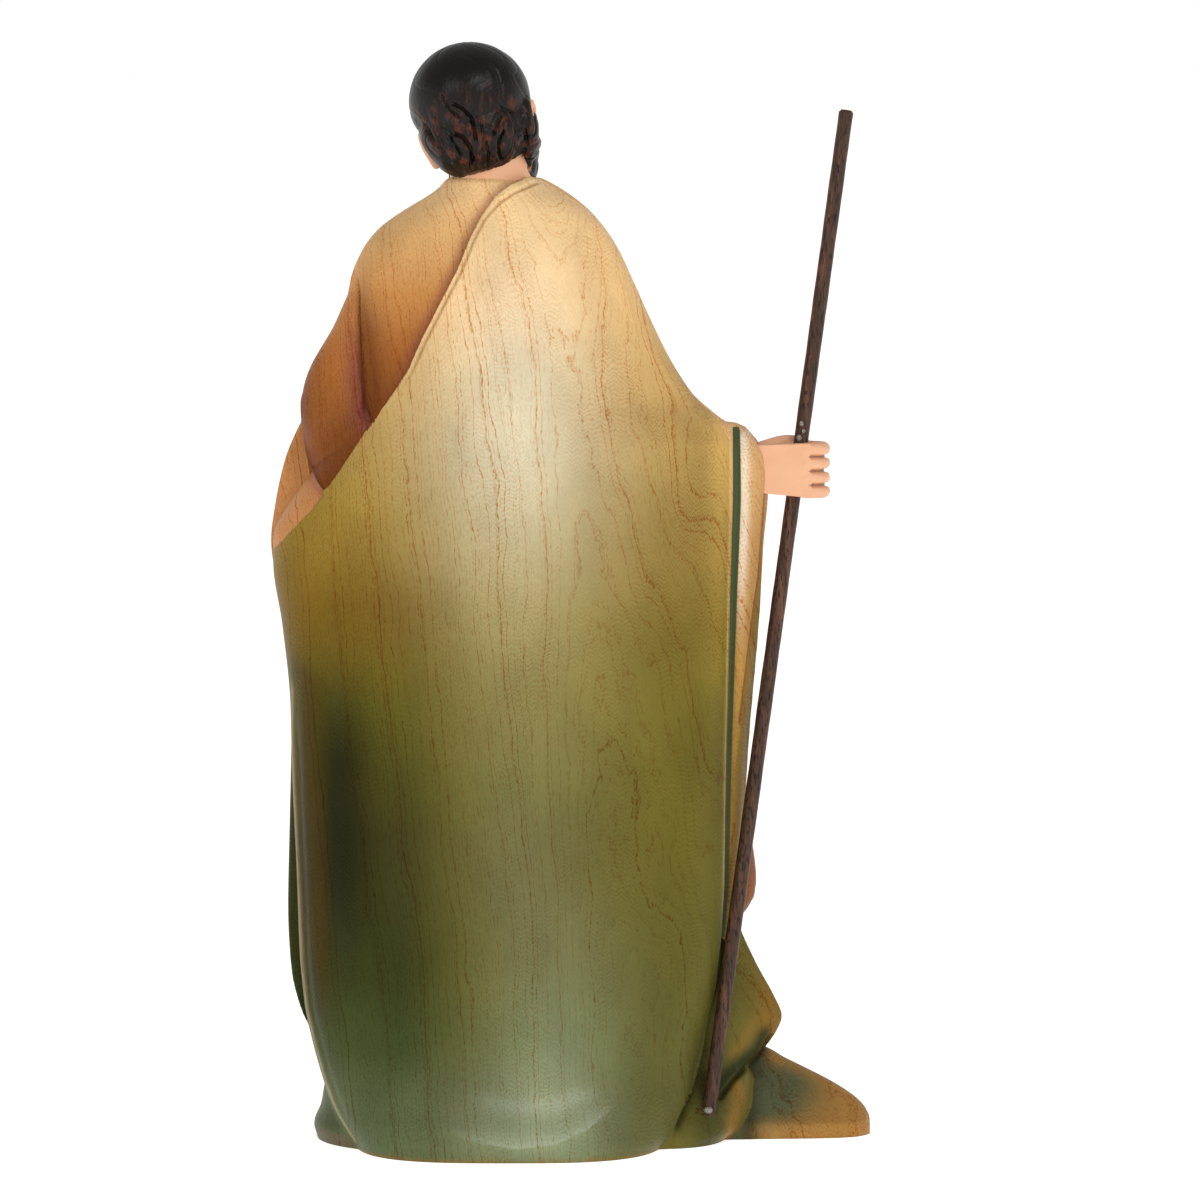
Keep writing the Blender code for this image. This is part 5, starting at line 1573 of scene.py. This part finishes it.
def painted_head():
    """Oil paint on carved wood: flesh on the face, near-black hair with brown dry-brushed on its edges."""
    made, tree, surface = new_material("oil_painted_head")
    hair = stored(tree, "hair")
    lids = stored(tree, "lids")
    iris = stored(tree, "iris")

    mottle = noise(tree, (0.3, 0.3, 0.3), 3.0)
    lip_share = sum_of(tree, "MULTIPLY", stored(tree, "lips"), 0.75)
    brow_share = ranged(tree, stored(tree, "brow"), 0.3, 0.7, 0.0, 0.85)
    inside = ranged(tree, lids, -0.06, 0.06, 1.0, 0.0)
    brown_eye = sum_of(tree, "MULTIPLY", ranged(tree, iris, 0.6, 0.7, 1.0, 0.0), inside)
    pupil = sum_of(tree, "MULTIPLY", ranged(tree, iris, 0.26, 0.34, 1.0, 0.0), inside)
    rim = ranged(tree, sum_of(tree, "ABSOLUTE", lids), 0.05, 0.16, 0.8, 0.0)

    # The dry brush catches the crests of the locks low on the head
    brushed = ranged(tree, noise(tree, (0.9, 0.9, 0.35), 5.0, 0.65), 0.48, 0.68, 0.0, 0.8)
    crest = ranged(tree, stored(tree, "lock"), -0.1, 0.25)
    for share in (crest, stored(tree, "low"), hair):
        brushed = sum_of(tree, "MULTIPLY", brushed, share)

    # Each coat is laid over the last: (share of it at each point, colour)
    coats = (
        (mottle, "#F0BE98"), (lip_share, "#B8604A"), (brow_share, "#3B2418"), (inside, "#E9E1D6"),
        (brown_eye, "#4A2E1C"), (pupil, "#120D0A"), (rim, "#4A2C1E"), (hair, "#13100D"), (brushed, "#6A3018"),
    )
    colour = paint("#E4AA84")
    for share, coat in coats:
        colour = coated(tree, share, colour, paint(coat))
    tree.links.new(colour, surface.inputs["Base Color"])
    surface.inputs["Specular IOR Level"].default_value = 0.2
    tree.links.new(ranged(tree, hair, 0.0, 1.0, 0.45, 0.32), surface.inputs["Roughness"])
    strokes = sum_of(tree, "MULTIPLY", noise(tree, (2.0, 2.0, 0.7), 3.0), hair)
    give_bump(tree, surface, strokes, 0.25, 0.0003)
    return made


def stained_rod():
    """Turned hardwood rod, stained dark brown and rubbed back so that the reddish ground shows along it."""
    made, tree, surface = new_material("stained_rod")
    rubbed = ranged(tree, noise(tree, (0.9, 0.9, 0.06), 3.0), 0.48, 0.75)
    speck = ranged(tree, noise(tree, (2.4, 2.4, 0.5), 3.0), 0.52, 0.62)
    ground = coated(tree, rubbed, paint("#442F23"), paint("#704A34"))
    tree.links.new(coated(tree, speck, ground, paint("#241811")), surface.inputs["Base Color"])
    surface.inputs["Roughness"].default_value = 0.45
    surface.inputs["Specular IOR Level"].default_value = 0.25
    return made


def clear_glue():
    """Glue that has squeezed out and dried glossy and nearly clear."""
    made, _, surface = new_material("dried_wood_glue")
    surface.inputs["Base Color"].default_value = paint("#E9E4D4")
    surface.inputs["Roughness"].default_value = 0.12
    surface.inputs["Transmission Weight"].default_value = 0.75
    return made


def pale_floor():
    """Matt white sheet that glows a little, as on a light table."""
    made, _, surface = new_material("pale_floor")
    surface.inputs["Base Color"].default_value = paint("#F7F7F5")
    surface.inputs["Roughness"].default_value = 0.9
    surface.inputs["Emission Color"].default_value = (1, 1, 1, 1)
    surface.inputs["Emission Strength"].default_value = 0.7
    return made


# Studio

def floor():
    """A wide pale floor, lit from below as a light table is, so that it stays nearly white."""
    made = bmesh.new()
    bmesh.ops.create_grid(made, x_segments=1, y_segments=1, size=200 * (FIGURE_HIGH.z - FIGURE_LOW.z))
    ground = object_of("floor", made)
    ground.data.materials.append(pale_floor())


def soft_light(name, place, aim, side, power):
    """A square softbox of the given side and power, turned from its place to what it lights."""
    light = bpy.data.lights.new(name, "AREA")
    light.size = side
    light.energy = power
    made = bpy.data.objects.new(name, light)
    made.location = place
    made.rotation_euler = (aim - place).to_track_quat("-Z", "Y").to_euler()
    bpy.context.scene.collection.objects.link(made)


def studio():
    """White walls near the horizon, a dimmer ceiling, and two softboxes behind the camera."""
    world = bpy.data.worlds.new("studio")
    world.use_nodes = True
    tree = world.node_tree
    way = add(tree, "ShaderNodeTexCoord").outputs["Generated"]
    height = add(tree, "ShaderNodeSeparateXYZ", {"Vector": way}).outputs["Z"]
    dim = ranged(tree, height, 0.1, 0.5, 1.0, 0.38)
    tree.links.new(dim, tree.nodes["Background"].inputs["Strength"])
    tree.nodes["Background"].inputs["Color"].default_value = (1, 1, 1, 1)
    bpy.context.scene.world = world
    bpy.context.scene.view_settings.view_transform = "Standard"
    aim = Vector((0, 0, 0.5)) * FIGURE_HIGH.z
    tall = FIGURE_HIGH.z
    soft_light("key", Vector((-2.6, 4.6, 4.8)) * tall, aim, 2.4 * tall, 4.6)
    soft_light("fill", Vector((2.6, 4.6, 4.0)) * tall, aim, 2.0 * tall, 2.2)


# The camera in units: what it looks at, how far off it stands, how wide a field it takes, and its rise
CAMERA_AIM = Vector((-22.6, 0.0, 108.0))
CAMERA_DISTANCE = 1600
CAMERA_FIELD = 240
CAMERA_RISE = math.radians(4.0)


def camera():
    """The photograph's view: from behind and a little above level, the figure filling most of the field."""
    aim = CAMERA_AIM * UNIT
    lens = bpy.data.cameras.new("camera")
    lens.lens = lens.sensor_width * CAMERA_DISTANCE / CAMERA_FIELD
    made = bpy.data.objects.new("camera", lens)
    away = Vector((0, math.cos(CAMERA_RISE), math.sin(CAMERA_RISE)))
    made.location = aim + away * CAMERA_DISTANCE * UNIT
    made.rotation_euler = (aim - made.location).to_track_quat("-Z", "Y").to_euler()
    bpy.context.scene.collection.objects.link(made)
    bpy.context.scene.camera = made


def main():
    carved_robe()
    carved_head()
    dressed(skin_piece("neck", [neck()], NECK_STEP))
    dressed(skin_piece("right_hand", right_hand(), HAND_STEP, knuckles))
    dressed(skin_piece("left_hand", left_hand(), HAND_STEP))
    bare_feet()
    wooden_staff()
    dried_glue()
    floor()
    studio()
    camera()


main()
